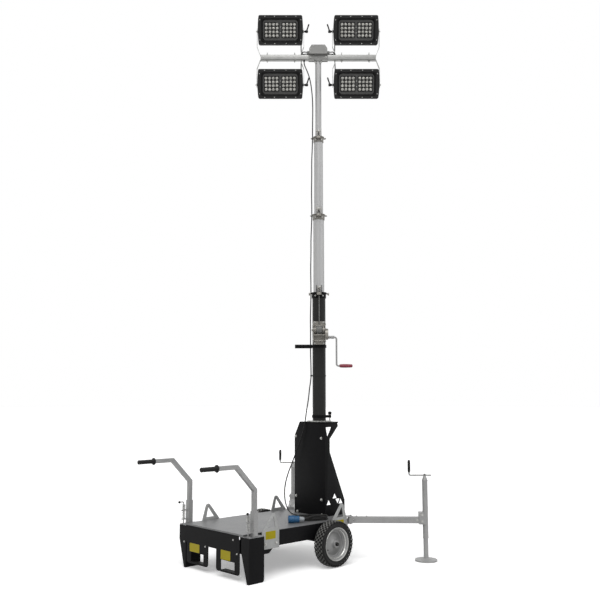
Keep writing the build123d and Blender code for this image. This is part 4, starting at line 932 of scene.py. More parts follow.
class TOWER_OT_mast_cables(bpy.types.Operator):
    """The held cable up the mast and the four lamp leads"""
    bl_idname = "tower.mast_cables"
    bl_label = "Mast cable and lamp leads"

    def execute(self, context):
        sized = sizes()
        for number, bodies in enumerate(CABLE_BODIES):
            if number < 3:
                bottom, top = self.ends(f"cable_{number}")
                out = ((bottom + top) / 2 - Vector((MAST_X, 0, (bottom.z + top.z) / 2))).normalized()
                route = [bottom.lerp(top, share) + out * bow for share, bow in CABLE_BOW]
            else:
                route = [mast_place(*place) for place in HEAD_ROUTE]
                bottom, top = route[0], route[-1]
            cord(f"mast_cable_{number}", route, sized.cable, bodies, [f"cable_{number}"])
        for number, corner in enumerate(LAMP_CORNERS, 1):
            cord(f"lamp_lead_{number}", self.lead(*corner), sized.lead, (f"lamp_{number}", "section_3"),
                 [f"lead_{number}"])
        return {"FINISHED"}

    @staticmethod
    def ends(node):
        """Lower and upper end of a CAD rod that leans."""
        vertices = [v.co.copy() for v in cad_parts[node].data.vertices]
        heights = [v.z for v in vertices]
        for level in (min(heights), max(heights)):
            near = [v for v in vertices if abs(v.z - level) < 0.004]
            yield sum(near, Vector()) / len(near)

    @staticmethod
    def lead(column, row):
        """The lead's route from the lamp's gland round behind the yoke to the junction box."""
        gland = Vector((0.0083, 0.178 - LAMP_ACROSS, -row * 0.112))
        start = lamp_pivot(1, row) + turned(-math.degrees(LAMP_TILT), "Y") @ gland
        end = Vector((row * 0.022, 0.118, BAR_Z + BOX_LIFT + 0.0294))
        points = [start + Vector(b) for b in mm(*LEAD_START[row])] + [end + Vector(b) for b in mm(*LEAD_END[row])]
        return [ON_MAST @ Vector((p.x, column * p.y, p.z)) for p in points]


# Sections of a tyre's half and of a rim's front and back, as radius and height in millimetres, and the rows
# of tread blocks: offset, phase, lean in degrees and sinking
HALF_TYRE = mm((145, 38.5), (146, 44), (149, 47), (152, 47.6), (153, 49.2), (156, 49.2), (157, 48.2), (166, 49.4),
               (175, 49), (176.5, 49.7), (179, 48.8), (181.5, 45.5), (184, 41.5), (185.8, 35), (186.8, 23), (187.2, 10))
RIM_FRONT = mm((144.7, 42.5), (144.7, 46), (143, 47.2), (140, 46.2), (137, 42.5), (133.5, 41.5), (131, 39), (129, 26),
               (125, 23.5), (122.5, 21), (120.5, 8), (116.5, 6), (114, 3), (112, -9), (106, -12), (98, -11), (94, -7),
               (62, 1), (56, 6), (45, 11), (39, 17), (34, 34), (31.5, 39.5), (18, 40.5), (15.3, 39))
RIM_BACK = mm((15.3, -44), (32, -44), (32, -20), (90, -17), (108, -20), (116, -6), (127, 18), (130, -34), (138.5, -45),
              (144.7, -44))
TREAD_ROWS = ((0.0, 0.0, 0.0, 0.0), (0.0185, 0.5, 0.0, 0.0), (-0.0185, 0.5, 0.0, 0.0), (0.0370, 0.0, 16.0, 0.0014),
              (-0.0370, 0.0, -16.0, 0.0014), (0.0455, 0.5, 62.0, 0.0000), (-0.0455, 0.5, -62.0, 0.0000))
WHEEL_RADIUS = 0.2


class TOWER_OT_wheels(bpy.types.Operator):
    """Tyres with block tread and stepped steel rims"""
    bl_idname = "tower.wheels"
    bl_label = "Wheels"

    def execute(self, context):
        for side, sign in SIDES.items():
            body = f"wheel_{side}"
            hub = middle(f"tyre_{side}")
            place = place_on(hub, hub + Vector((0, sign, 0)))
            shape = Shape()
            shape.lathe([(r, -h) for r, h in HALF_TYRE] + HALF_TYRE[::-1], place, 96, shut=True)
            # A skin of darker rubber over the crown between the tread blocks: painted shade in the grooves
            shape.lathe(mm((186.8, -30), (187.8, -28), (187.8, 28), (186.8, 30)), place, 96, 1)
            fit(f"tyre_carcass_{side}", shape, ["tyre_compound", "seal_rubber"], body,
                [f"tyre_{side}"])
            shape = Shape()
            shape.lathe(RIM_FRONT + RIM_BACK, place, 72, shut=True)
            # Thin skins of bright zinc over the outer lip and the inner step: painted highlight rings that show the
            # rim's relief
            shape.lathe(mm((144.9, 46.2), (143.6, 48), (140.8, 47.5), (139, 45.5)), place, 72, 2)
            shape.lathe(mm((129.2, 30), (126.2, 24.5), (122.2, 22.2)), place, 72, 2)
            shape.lathe(mm((0, 56), (12, 56), (15, 53.5), (16, 48), (16, 40)), place, 32, 1)
            stem = place @ turned(200, "Z")
            shape.rod(stem @ Vector((0.116, 0, 0.012)), stem @ Vector((0.112, 0, 0.040)), 0.007, 10, 1)
            fit(f"rim_stepped_{side}", shape, ["rim_paint", "grip_rubber", "bright_zinc"], body,
                [f"rim_{side}"])
            self.tread(side, place)
        return {"FINISHED"}

    @staticmethod
    def tread(side, place):
        sized = sizes()
        facing = place.to_3x3()
        spots = []
        for offset, phase, lean, sink in TREAD_ROWS:
            tilt = math.radians(lean)
            for k in range(sized.tread_count):
                turn = 2 * math.pi * (k + phase) / sized.tread_count
                out = polar(math.cos(tilt), turn, math.sin(tilt))
                along = Vector((-math.sin(turn), math.cos(turn), 0))
                foot = place @ polar(WHEEL_RADIUS - sized.tread - sink, turn, offset)
                spots.append((foot, facing @ out, facing @ along, 0.72 if abs(lean) > 40 else 1.0))
        values = {"Length": 0.0215, "Width": 0.0150, "Depth": sized.tread}
        repeat(f"tyre_tread_{side}", "tread", spots, values, "tread_rubber", f"wheel_{side}")


# A lamp's front in its own frame: its face, the floor behind the lenses and the height of its middle
LAMP_FACE, LAMP_FLOOR, LAMP_UP = -0.066, -0.056, 0.006
LAMP_SCREWS = [(y, s * 0.135) for s in (1, -1) for y in (-0.160, -0.060, 0.060, 0.160)]
LAMP_SCREWS += [(s * 0.214, z) for s in (1, -1) for z in (-0.10, 0.10)]
LEVER_REACH = 0.2463


class TOWER_OT_lamps(bpy.types.Operator):
    """Seals, panels, lenses and screws of the four floodlights"""
    bl_idname = "tower.lamps"
    bl_label = "Floodlights"

    def execute(self, context):
        sized = sizes()
        middle_of_group = sized.lens_split + 1.5 * sized.lens_pitch
        for number, corner in enumerate(LAMP_CORNERS, 1):
            lamp = ON_MAST @ Matrix.Translation(lamp_pivot(*corner)) @ Matrix.Rotation(-LAMP_TILT, 4, "Y")
            body = f"lamp_{number}"
            front = lamp @ at(z=LAMP_UP) @ FACING
            shape = Shape()
            shape.plate(rounded(0.396, 0.240, 0.026), 0.0025, front @ at(z=-LAMP_FLOOR), 0)
            for width, height, bend, lift, girth in ((0.386, 0.230, 0.032, 0.0060, 0.0085),
                                                     (0.370, 0.214, 0.036, 0.0035, 0.0050)):
                ring = [front @ Vector((x, y, lift - LAMP_FLOOR)) for x, y in rounded(width, height, bend, 8)]
                shape.tube(ring, girth, 10, 1, closed=True)
            for sign in (1, -1):
                tray = rounded(4.25 * sized.lens_pitch, 4.3 * sized.lens_row, 0.010)
                shape.plate(tray, 0.0012, front @ at(sign * middle_of_group, 0, 0.0025 - LAMP_FLOOR), 2)
            fit(f"lamp_front_{number}", shape, ["lamp_panel", "seal_rubber", "lamp_casting"], body)

            def facing(x, y, z, scale=1.0):
                return spot(lamp @ Vector((x, y, LAMP_UP + z)), lamp.to_3x3() @ Vector((-1, 0, 0)), scale)

            columns = [sign * (sized.lens_split + k * sized.lens_pitch) for sign in (1, -1) for k in range(4)]
            lenses = [facing(LAMP_FLOOR - 0.0037, y, (r - 1.5) * sized.lens_row) for y in columns for r in range(4)]
            repeat(f"lamp_lenses_{number}", "lens", lenses, {"Lens": sized.lens}, "lens_clear", body)
            spots = [facing(LAMP_FACE, y, z) for y, z in LAMP_SCREWS]
            spots += [facing(LAMP_FLOOR - 0.0025, 0, z, 0.9) for z in (-0.028, 0.028)]
            screws(f"lamp_screws_{number}", spots, body)
        self.levers()
        return {"FINISHED"}

    @staticmethod
    def levers():
        """Clamp levers with a round knob at each lamp's inner pivot."""
        shape = Shape()
        knob = mm((0, 0), (9, 0), (9.5, 10), (13.5, 15), (15, 24), (15, 34), (12.5, 41), (6, 43), (0, 43.2))
        for column, row in LAMP_CORNERS:
            inner = Vector((0, -column, 0))
            foot = lamp_pivot(column, row) + inner * LEVER_REACH
            shape.lathe(knob, ON_MAST @ place_on(foot, foot + inner), 28, 0)
            start = foot + inner * 0.026
            tip = start + Vector((-0.010, -column * 0.026, 0.078))
            reach = (tip - start).length
            shape.lathe([(0, 0), (0.0080, 0), (0.0068, reach * 0.4), (0.0076, reach * 0.86), (0.0066, reach - 0.004),
                         (0.0040, reach - 0.0008), (0, reach)], ON_MAST @ place_on(start, tip), 14, 0)
        fit("clamp_levers", shape, ["moulded_plastic"], "section_3", ["lamp_levers"])


# Bolts as (across, height) of the apron, the stand and the junction box, and (front, height) of the winch
APRON_BOLTS = ((0.412, 0.221), (0.097, 0.219), (-0.289, 0.328), (-0.341, 0.221))
STAND_BOLTS = ((0.190, 1.116), (-0.165, 1.108), (0.185, 0.542), (-0.165, 0.535), (0.168, 0.396), (-0.168, 0.396))
BOX_SCREWS = ((-0.078, 0.014), (-0.078, 0.050), (0.078, 0.014), (0.078, 0.050), (-0.054, 0.084), (0.054, 0.084))
WINCH_BOLTS = ((0.15, 2.06), (0.11, 2.21), (0.17, 2.16), (0.09, 2.04))
# Bolts of an arm's clamp: along the arm, off its middle, height and scale
CLAMP_BOLTS = ((0.660, 0.037, 0.358, 0.9), (0.660, 0.037, 0.418, 0.9), (0.618, 0.0275, 0.367, 0.85))


class TOWER_OT_fasteners(bpy.types.Operator):
    """Bolts and screws of the trolley, stand, mast and arms"""
    bl_idname = "tower.fasteners"
    bl_label = "Bolts and screws"

    def execute(self, context):
        spots = [spot((APRON_X, y, z), (-1, 0, 0), 0.62) for y, z in APRON_BOLTS]
        spots += [spot((STAND_X, y, z), (-1, 0, 0)) for y, z in STAND_BOLTS]
        spots += [spot((AXLE.x + eye + dx, sign * 0.4236, 0.279), (0, sign, 0))
                  for sign in (1, -1) for eye in EYES for dx in (0.060, -0.060)]
        bolts("trolley_bolts", spots, "trolley")

        spots = [mast_spot(0.0700, across, z, 0.8) for across in (-0.045, 0.045) for z in (2.025, 2.232)]
        spots += [mast_spot(front, sign * 0.059, z, 0.7, (0, sign, 0)) for sign in (1, -1) for front, z in WINCH_BOLTS]
        bolts("mast_bolts", spots, "mast")

        for number, top in enumerate(COLLAR_TOPS):
            sides = [polar(1, math.radians(degrees)) for degrees in (30, 150, 210, 330)]
            rise = Vector((0, 0, top - 0.030))
            spots = [spot(ON_MAST @ (side * (TUBES[number] + 0.009) + rise), ON_MAST.to_3x3() @ side, 0.62)
                     for side in sides]
            bolts(f"collar_bolts_{number}", spots, collar_body(number))

        spots = [spot(mast_place(0, across, BAR_Z + sign * 0.0313), (0, 0, sign), 0.9)
                 for across in YOKES for sign in (1, -1)]
        spots += [mast_spot(face * 0.031, across, BAR_Z - 0.004, 0.75, (face, 0, 0))
                  for across in (-0.080, 0.080) for face in (1, -1)]
        for sign in (1, -1):
            spots.append(mast_spot(0.031, sign * 0.030, BAR_Z - 0.060, 0.7))
            spots += [mast_spot(0, sign * 0.640, BAR_Z + row * LAMP_RISE, 0.95, (0, sign, 0)) for row in (1, -1)]
        bolts("head_bolts", spots, "section_3")
        shape = Shape()
        for across in YOKES:
            for low, high in ((0.026, 0.060), (-0.026, -0.046)):
                shape.rod(mast_place(0, across, BAR_Z + low), mast_place(0, across, BAR_Z + high), 0.010, 14)
        fit("yoke_studs", shape, ["bright_zinc"], "section_3")
        screws("box_screws", [mast_spot(0.055, across, BAR_Z + BOX_LIFT + rise, 0.9) for across, rise in BOX_SCREWS],
               "section_3")

        for side, sign in SIDES.items():
            pivot, along = arm_pivot(sign), polar(1, sign * ARM_SWING)
            across = Vector((-along.y, along.x, 0))
            spots = [spot(pivot + along * reach + across * face * off + Vector((0, 0, z)), across * face, scale)
                     for face in (1, -1) for reach, off, z, scale in CLAMP_BOLTS]
            spots += [spot(pivot + along * reach + Vector((0, 0, 0.3945)), (0, 0, 1), 0.8) for reach in (0.055, 0.150)]
            bolts(f"arm_bolts_{side}", spots, f"arm_{side}")
        return {"FINISHED"}


class TOWER_OT_labels(bpy.types.Operator):
    """Blank yellow labels"""
    bl_idname = "tower.labels"
    bl_label = "Blank labels"

    def execute(self, context):
        thick = sizes().label
        shape = Shape()
        for y, z, width, height in ((0.2555, 0.187, 0.145, 0.071), (-0.187, 0.1895, 0.130, 0.077)):
            shape.plate(rounded(width, height, 0.005), thick, at(APRON_X - 0.0001, y, z) @ FACING)
        for sign in (1, -1):
            for eye in (-0.690, 0.146):
                place = at(AXLE.x + eye, sign * 0.4237, 0.3485) @ turned(-90 * sign, "X")
                shape.plate(rounded(0.112, 0.066, 0.005), thick, place)
        fit("blank_labels", shape, ["label_film"], "trolley")
        return {"FINISHED"}


class TOWER_OT_handles(bpy.types.Operator):
    """Ribbed grips, latch pins with springs and weld seams of the push handles"""
    bl_idname = "tower.handles"
    bl_label = "Push handles"

    def execute(self, context):
        for side, sign in SIDES.items():
            self.grip(side)
            x, y = AXLE.x - 0.901, sign * 0.459
            self.latch(side, x - 0.064, y)
            shape = Shape()
            seam = rounded(2 * 0.0190, 2 * 0.0190, 0.25 * 0.0190, 3)
            shape.tube([(x + a, y + b, 0.5712) for a, b in seam], 0.0020, 6, 0, closed=True)
            fit(f"handle_weld_{side}", shape, ["tube_zinc"], f"handle_{side}")
        return {"FINISHED"}

    @staticmethod
    def grip(side):
        ribs = 9
        low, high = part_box(f"handle_grip_{side}")
        centre, span = (low + high) / 2, high.x - low.x
        profile = mm((0, 0), (13, 0), (29, 0), (30.8, 1.8), (30.8, 8), (28.5, 10.5), (21.5, 12.5))
        for k in range(ribs):
            rise = 0.018 + k * (span - 0.040) / ribs
            profile += [(0.0178, rise), (0.0188, rise + 0.003), (0.0188, rise + 0.008), (0.0178, rise + 0.0105)]
        profile += [(radius, span - back) for radius, back in mm(
            (17.8, 18), (19, 14), (19, 5), (16.5, 1.2), (10, 0), (0, 0))]
        shape = Shape()
        shape.lathe(profile, place_on((high.x, centre.y, centre.z), (low.x, centre.y, centre.z)), 32)
        fit(f"grip_ribbed_{side}", shape, ["grip_rubber"], f"handle_{side}", [f"handle_grip_{side}"])

    @staticmethod
    def latch(side, x, y):
        """A cranked pin with a ball, two springs and their washers."""
        turn = math.radians({"left": 180.0, "right": 225.0}[side])
        tip = Vector((x, y, 0.560)) + polar(0.046, turn)
        shape = Shape()
        shape.tube(bend_line([(x, y, 0.370), (x, y, 0.560), tip], 0.012), 0.005, 12, 0)
        ball = [(0.011 * math.sin(math.pi * k / 10), -0.011 * math.cos(math.pi * k / 10)) for k in range(11)]
        shape.lathe(ball, Matrix.Translation(tip) @ Matrix.Rotation(0.3, 4, "X"), 20, 1)
        for low, high, turns in ((0.4130, 0.480, 5), (0.4895, 0.532, 4)):
            shape.tube(helix((x, y, low), (x, y, high), 0.0150, turns), 0.0026, 6, 2)
        for z in (0.4112, 0.4812, 0.4886, 0.5330):
            shape.lathe(mm((5.1, 0), (16.5, 0), (16.5, 2), (5.1, 2)), at(x, y, z), 20, 0, shut=True)
        fit(f"latch_sprung_{side}", shape, ["tube_zinc", "moulded_plastic", "bright_zinc"], f"handle_{side}",
            [f"handle_latch_{side}"])


# The winch in front of the mast: its drum's and its crank's distance, and the crank's axle and grip
DRUM_FRONT = TUBES[0] + 0.0603
CRANK_FRONT, CRANK_OUT = 0.1255, 0.168
DRUM_Z, CRANK_Z, GRIP_Z = 2.150, 2.080, 1.800
GUIDE_R = 0.0150
GUIDE_TURN = math.radians(20)


class TOWER_OT_winch(bpy.types.Operator):
    """Rope turns, ratchet, bent crank and red grip of the winch, with the rope, pulleys and collars"""
    bl_idname = "tower.winch"
    bl_label = "Winch and rope"

    def execute(self, context):
        self.drum(sizes().rope)
        self.crank()
        self.rope(sizes().rope)
        for number, top in enumerate(COLLAR_TOPS):
            self.pulley(number, TUBES[number + 1] + 0.028, top)
            self.collar(number, TUBES[number], TUBES[number + 1], top)
        return {"FINISHED"}

    @staticmethod
    def drum(rope):
        drum, right = mast_place(DRUM_FRONT, 0, DRUM_Z), mast_out(0, 1, 0)
        shape = Shape()
        for layer in range(2):
            reach = right * (0.030 - layer * 0.003)
            radius = 0.026 + rope * (0.5 + 0.85 * layer)
            shape.tube(helix(drum - reach, drum + reach, radius, 9 - layer, 20, 1.2 * layer), rope / 2, 8, 0)
        fit("rope_turns", shape, ["rope_steel"], "mast")

        shape = Shape()
        teeth = [polar(radius, 2 * math.pi * (k + share) / 24).to_2d()
                 for k in range(24) for radius, share in ((0.040, 0.0), (0.048, 0.15), (0.040, 0.95))]
        wheel = place_on(drum - right * 0.0640, drum - right * 0.1)
        shape.plate(teeth, 0.004, wheel, 0)
        shape.lathe(mm((0, 0), (12, 0), (12, 9), (10, 11), (0, 11)), wheel, 20, 0)
        shape.lathe(mm((54.5, 0), (55.5, 1), (55.5, 24), (52, 27.5), (48, 26.8), (30, 26.8), (29, 28.5), (0, 28.5)),
                    across_mast(DRUM_FRONT, 0.059, 2.109), 40, 0)
        for front, half, z, girth in ((0.012, 0.062, 2.196, 0.012), (0.012, 0.062, 2.045, 0.012),
                                      (0.040, 0.058, 2.10, 0.010)):
            ends = [mast_place(DRUM_FRONT + front, side * half, z) for side in (-1, 1)]
            shape.rod(*ends, girth, 14, 0)
        fit("winch_fittings", shape, ["winch_zinc"], "mast")

    @staticmethod
    def crank():
        shape = Shape()
        corners = ((0.086, CRANK_Z), (CRANK_OUT, CRANK_Z), (CRANK_OUT, GRIP_Z), (0.200, GRIP_Z))
        shape.tube(bend_line([mast_place(CRANK_FRONT, across, z) for across, z in corners], 0.020), 0.0085, 14, 0)
        shape.lathe(mm((8.5, 0), (13.5, 0), (15, 1.5), (15, 16), (12, 18), (12, 24), (15, 26), (15, 58), (13.5, 60.5),
                       (8.5, 61)), across_mast(CRANK_FRONT, 0.086, CRANK_Z), 28, 0)
        shape.lathe(mm((0, 0), (12, 0), (14.5, 2), (16.5, 12), (17.8, 35), (17.5, 75), (16, 108), (15, 120), (11, 127),
                       (0, 127.5)), across_mast(CRANK_FRONT, 0.196, GRIP_Z), 28, 1)
        fit("crank_bent", shape, ["tube_zinc", "crank_grip"], "mast", ["winch_crank"])

    @staticmethod
    def rope(rope):
        bottom, top = mast_place(0.0960, 0, DRUM_Z), mast_place(0.0783, 0, 2.499)
        shape = Shape()
        for strand in range(6):
            phase = 2 * math.pi * strand / 6
            shape.tube(helix(bottom, top, rope * 0.31, 9, 12, phase), rope * 0.17, 6, 0)
        shape.tube([bottom, top], rope * 0.16, 6, 0)
        fit("rope_stranded", shape, ["rope_steel"], "mast", ["wire_rope"])

    @staticmethod
    def pulley(number, front, top):
        """A small pulley on a fork in front of a collar."""
        z = top + 0.052
        shape = Shape()
        shape.lathe(mm((4.5, 0), (20, 0), (21, 1), (16.5, 4.5), (16.5, 9.5), (21, 13), (20, 14), (4.5, 14)),
                    across_mast(front, -0.007, z), 32, 1, shut=True)
        cheek = mm((-16, 0), (12, 0), (14, 50), (6, 64), (-8, 64), (-14, 50))
        for sign in (1, -1):
            shape.plate(cheek, -0.004, ON_MAST @ at(-front, sign * 0.0115 - 0.002, top + 0.0005) @ UPRIGHT, 0)
        shape.rod(mast_place(front, -0.020, z), mast_place(front, 0.020, z), 0.010, 6, 0)
        shape.block((0.030, 0.046, 0.024), ON_MAST @ at(0.002 - front, 0, top - 0.012), 0, 0.002)
        fit(f"pulley_{number}", shape, ["winch_zinc", "bright_zinc"], collar_body(number))

    @staticmethod
    def collar(number, outer, inner, top):
        """A collar with a flange, a fork in front and a wire guide on each side, the lowest with knobs."""
        shape = Shape()
        bore = inner + 0.0012
        section = [(outer + dr, z) for dr, z in mm((0.3, -50), (5.5, -50), (6.5, -49), (6.5, -1), (13, 0), (13, 6))]
        section += [(bore + 0.001, 0.008), (bore, 0.007), (bore, 0.0004), (outer + 0.0003, 0.0004)]
        shape.lathe(section, ON_MAST @ at(z=top), 48, 0, shut=True)
        ear = [(outer + dx, z) for dx, z in mm((4, -30), (34, -4), (34, 52), (22, 74), (8, 74))]
        ear.append((inner + 0.006, 0.010))
        for sign in (1, -1):
            shape.sheet([ear], 0.005, ON_MAST @ at(0, sign * 0.027, top) @ turned(180, "Z") @ UPRIGHT)
            if number == 0:
                side = mast_out(0, sign, 0)
                foot = mast_place(0, sign * (outer + 0.011), top - 0.008)
                shape.rod(foot, foot + side * 0.020, 0.009, 12, 1)
                shape.lathe(mm((0, 0), (12, 0), (14, 2), (14, 11), (12, 13), (0, 13.2)),
                            place_on(foot + side * 0.012, foot + side * 0.1), 10, 1)
            guide = ON_MAST @ Matrix.Rotation(-sign * GUIDE_TURN, 4, "Z") @ at(0, sign * (outer + GUIDE_R + 0.004), top)
            shape.tube([guide @ polar(GUIDE_R, k * math.pi / 12) for k in range(24)], 0.004, 8, 0, closed=True)
        coat = "collar_casting" if number else "black_paint"
        fit(f"collar_forked_{number}", shape, [coat, "winch_zinc"], collar_body(number),
            [f"collar_{number}"])


JACK_TURN = math.radians(136.8)
JACK_CRANK_Z = 0.774


class TOWER_OT_jacks(bpy.types.Operator):
    """Cranks, grips and end caps of the stabiliser jacks"""
    bl_idname = "tower.jacks"
    bl_label = "Stabiliser jacks"

    def execute(self, context):
        along = polar(1, JACK_TURN)
        for side in SIDES:
            leg = middle(f"jack_leg_{side}")
            centre = Vector((leg.x, leg.y, JACK_CRANK_Z))
            out = centre + along * 0.145
            shape = Shape()
            shape.tube(bend_line([centre - along * 0.062, out, out + Vector((0, 0, 0.032))], 0.014), 0.006, 12, 0)
            shape.lathe(mm((0, 0), (8.5, 0), (11, 3), (12.5, 20), (13, 60), (12.5, 95), (10.5, 109), (6, 114),
                           (0, 114.5)), place_on(out + Vector((0, 0, 0.026)), out + Vector((0, 0, 1))), 24, 1)
            shape.lathe(mm((0, 0), (9.6, 0), (9.6, 20), (8.5, 21.5), (0, 21.5)), at(leg.x, leg.y, 0.7663), 20, 0)
            fit(f"jack_crank_bent_{side}", shape, ["rod_zinc", "grip_rubber"], f"arm_{side}",
                [f"jack_crank_{side}"])
            shape = Shape()
            for band, z in ((mm((25.2, -12), (26.8, -11), (26.8, -1), (25.2, 0)), 0.732),
                            (mm((25.2, 0), (26.2, 1), (26.2, 10), (25.2, 11)), 0.204)):
                shape.lathe(band, at(leg.x, leg.y, z), 32, 0, shut=True)
            fit(f"jack_bands_{side}", shape, ["tube_zinc"], f"arm_{side}")
        return {"FINISHED"}


class TOWER_OT_trims(bpy.types.Operator):
    """Small plates and caps: a backing plate of the apron, bracket pads, arm tails and the index knob"""
    bl_idname = "tower.trims"
    bl_label = "Plates and caps"

    def execute(self, context):
        shape = Shape()
        shape.block((0.004, 0.032, 0.155), at(APRON_X + 0.014, -0.3775, 0.3015), 0, 0.001)
        fit("backing_plate", shape, ["black_paint"], "trolley")
        shape = Shape()
        for sign in SIDES.values():
            arm = Matrix.Translation(arm_pivot(sign, 0.367)) @ Matrix.Rotation(sign * ARM_SWING, 4, "Z")
            shape.block((0.0046, 0.068, 0.054), arm @ at(-0.0363), 0, 0.0008)
            shape.block((0.038, 0.017, 0.080), at(0.524, sign * 0.4035, 0.340), 0, 0.001)
        fit("bracket_pads", shape, ["tube_zinc"], "trolley")
        for side, sign in SIDES.items():
            shape = Shape()
            shape.lathe(mm((0, 0), (26.2, 0), (27.2, 1), (27.2, 50), (26.2, 51), (0, 51)),
                        Matrix.Translation(arm_pivot(sign, 0.3415)), 36, 0)
            fit(f"arm_tail_{side}", shape, ["tube_zinc"], f"arm_{side}")
        shape = Shape()
        reach = ON_MAST @ Vector((0, -0.104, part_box("index_plunger")[1].z - 0.020))
        shape.lathe(mm((0, 0), (6.5, 0), (6.5, 10), (15, 13), (17.5, 19), (16.8, 27), (12, 32), (0, 33)),
                    Matrix.Translation(reach), 28, 0)
        fit("index_knob", shape, ["moulded_plastic"], "mast")
        return {"FINISHED"}


# The mast stand: half its width, its sheet, its top and the corner cut from it, and the openings of its sides
# as place along the row, height of the row and whether they point up
STAND_HALF, STAND_SHEET, STAND_TOP = 0.210, 0.005, 1.258
STAND_CUT = (0.073, 0.135)
STAND_WINDOWS = [(0, 0.104, True), (3, 0.104, False), (4, 0.104, True), (2, 0.159, True)]


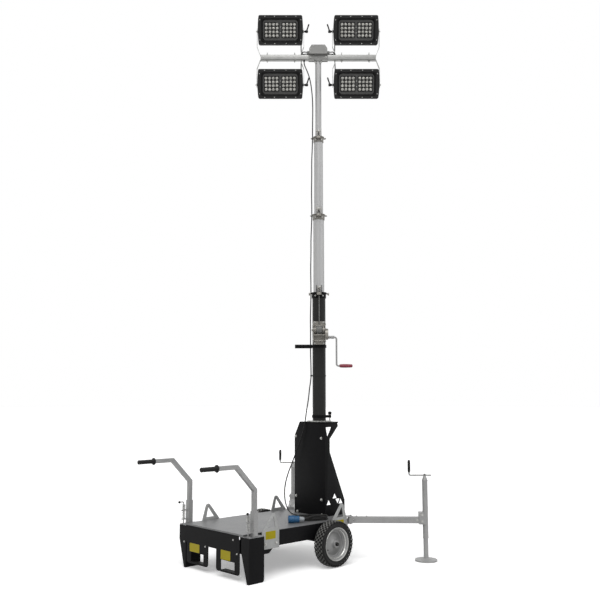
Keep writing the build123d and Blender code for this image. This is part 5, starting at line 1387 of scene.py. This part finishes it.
class TOWER_OT_sheets(bpy.types.Operator):
    """Lifting eyes, mast stand and crossbar with their openings and clamp plates"""
    bl_idname = "tower.sheets"
    bl_label = "Eyes, stand and crossbar"

    def execute(self, context):
        self.eyes()
        self.crossbar()
        self.stand()
        return {"FINISHED"}

    @staticmethod
    def eyes():
        """Triangular plates with a round top, which leans a little to one side."""
        half, round_top = 0.095, 0.027
        shape = Shape()
        base, foot = DECK_TOP + 0.004, DECK_TOP + 0.024
        for eye in EYES:
            for sign in (1, -1):
                lean = -sign * 0.016
                top = Vector((2 * lean, DECK_TOP + 0.116))
                first, last = (Vector((x, base)) - top for x in (half, -half))
                start = math.atan2(first.y, first.x) + math.acos(round_top / first.length)
                end = math.atan2(last.y, last.x) + 2 * math.pi - math.acos(round_top / last.length)
                crown = [top + polar(round_top, start + (end - start) * k / 8).to_2d() for k in range(9)]
                outline = [(half, 0.237), (half, base), *crown, (-half, base), (-half, 0.237)]
                hole = [(-0.044 + lean / 2, foot), (0.044 + lean / 2, foot), (2 * lean, foot + 0.092)]
                shape.sheet([outline, hole], 0.008, at(AXLE.x + eye, sign * 0.4196) @ UPRIGHT)
        fit("eye_plates", shape, ["eye_zinc"], "trolley", ["lifting_eyes"])

    @staticmethod
    def crossbar():
        shape = Shape()
        low, high = BAR_Z - BAR_HALF, BAR_Z + BAR_HALF
        bar = [rounded(0.050, 0.050, 0.004, 3), rounded(0.042, 0.042, 0.002, 2)]
        shape.sheet(bar, 1.200, ON_MAST @ at(0, 0.6, BAR_Z) @ UPRIGHT @ at(z=0.6))
        corners = ((100, -4), (36, -4), (30, -22))
        plate = [(-x * 0.001, low + z * 0.001) for x, z in corners]
        plate += [(-x, z) for x, z in plate[::-1]] + [(0.100, high), (-0.100, high)]
        for sign in (1, -1):
            shape.sheet([rounded(0.049, 0.049, 0.004, 3)], 0.0025, ON_MAST @ at(0, sign * 0.5985, BAR_Z) @ UPRIGHT, 1)
            shape.sheet([plate], 0.006, ON_MAST @ at(sign * 0.028) @ AHEAD, 2)
        seat, gland = ON_MAST @ at(z=low - 0.0220), ON_MAST @ at(0.012, 0.147, low - 0.010)
        shape.lathe(mm((32, 0), (38.5, 0), (39.5, 1), (39.5, 20), (32, 20)), seat, 40, 2, shut=True)
        shape.lathe(mm((6.5, 0), (9, 1), (9, 7), (10, 7), (10, 10), (0, 10)), gland, 24, 1)
        fit("crossbar_clamped", shape, ["bar_aluminium", "moulded_plastic", "box_casting"], "section_3",
            ["crossbar"])

    @staticmethod
    def stand():
        half, sheet, top = STAND_HALF, STAND_SHEET, STAND_TOP
        cut_width, cut_height = STAND_CUT
        shape = Shape()
        front = [(-half, DECK_TOP), (half, DECK_TOP), (half, top - cut_height), (half - cut_width, top), (-half, top)]
        shape.sheet([front], sheet, at(STAND_X + sheet / 2) @ AHEAD)
        edge, left = STAND_X + 0.0005, STAND_X + 0.016
        windows = []
        for step, rise, up in STAND_WINDOWS:
            x, z = AXLE.x + 0.223 + step * 0.0405, DECK_TOP + rise + (0 if up else 0.0485)
            windows.append([(x - 0.028, z), (x + 0.028, z), (x, z + (0.0485 if up else -0.0485))])
        slope = [(edge, DECK_TOP), (AXLE.x + 0.440, DECK_TOP), (AXLE.x + 0.440, 0.517), (AXLE.x + 0.240, 0.978),
                 (AXLE.x + 0.240, 1.100)]
        tops = {1: [(AXLE.x + 0.240, top - cut_height), (edge, top - cut_height)],
                -1: [(AXLE.x + 0.352, top - 0.040), (AXLE.x + 0.344, top), (edge, top)]}
        extra = {1: [], -1: [[(left, 1.212), (left + 0.075, 1.212), (left + 0.02025, 1.120)]]}
        for sign in (1, -1):
            outlines = [slope + tops[sign]] + windows + extra[sign]
            shape.sheet(outlines, sheet, at(0, sign * (half - sheet / 2)) @ UPRIGHT)
        table = [(STAND_X, -half), (AXLE.x + 0.344, -half), (AXLE.x + 0.432, -0.140), (AXLE.x + 0.432, 0.100),
                 (AXLE.x + 0.400, half - cut_width), (STAND_X, half - cut_width)]
        bore = [(MAST_X + 0.0665 * math.cos(t / 16 * math.pi), 0.0665 * math.sin(t / 16 * math.pi)) for t in range(32)]
        shape.sheet([table, bore], 0.010, at(z=top - 0.005))
        fit("stand_sheets", shape, ["black_paint"], "trolley", ["mast_stand"])


class TOWER_PT_panel(bpy.types.Panel):
    """Builds the light tower piece by piece"""
    bl_idname = "TOWER_PT_panel"
    bl_label = "Light tower"
    bl_space_type = "VIEW_3D"
    bl_region_type = "UI"
    bl_category = "Light tower"

    def draw(self, context):
        for operator in OPERATORS:
            self.layout.operator(operator.bl_idname)
        for group in SETTINGS:
            settings = getattr(context.scene, group)
            box = self.layout.box()
            for name in settings.__annotations__:
                box.prop(settings, name)


SETTINGS = {"tower_stage": TowerStage, "tower_sizes": TowerSizes, "tower_colours": TowerColours}
OPERATORS = [TOWER_OT_stage, TOWER_OT_finishes, TOWER_OT_supply_cable, TOWER_OT_mast_cables, TOWER_OT_wheels,
             TOWER_OT_lamps, TOWER_OT_fasteners, TOWER_OT_labels, TOWER_OT_handles, TOWER_OT_winch, TOWER_OT_jacks,
             TOWER_OT_trims, TOWER_OT_sheets]
CLASSES = [*SETTINGS.values(), *OPERATORS, TOWER_PT_panel]


def register():
    for part in CLASSES:
        bpy.utils.register_class(part)
    for group, kind in SETTINGS.items():
        setattr(bpy.types.Scene, group, PointerProperty(type=kind))


def unregister():
    for group in SETTINGS:
        delattr(bpy.types.Scene, group)
    for part in reversed(CLASSES):
        bpy.utils.unregister_class(part)


def main():
    register()
    for operator in OPERATORS:
        group, name = operator.bl_idname.split(".")
        getattr(getattr(bpy.ops, group), name)()


if __name__ == "__main__":
    main()
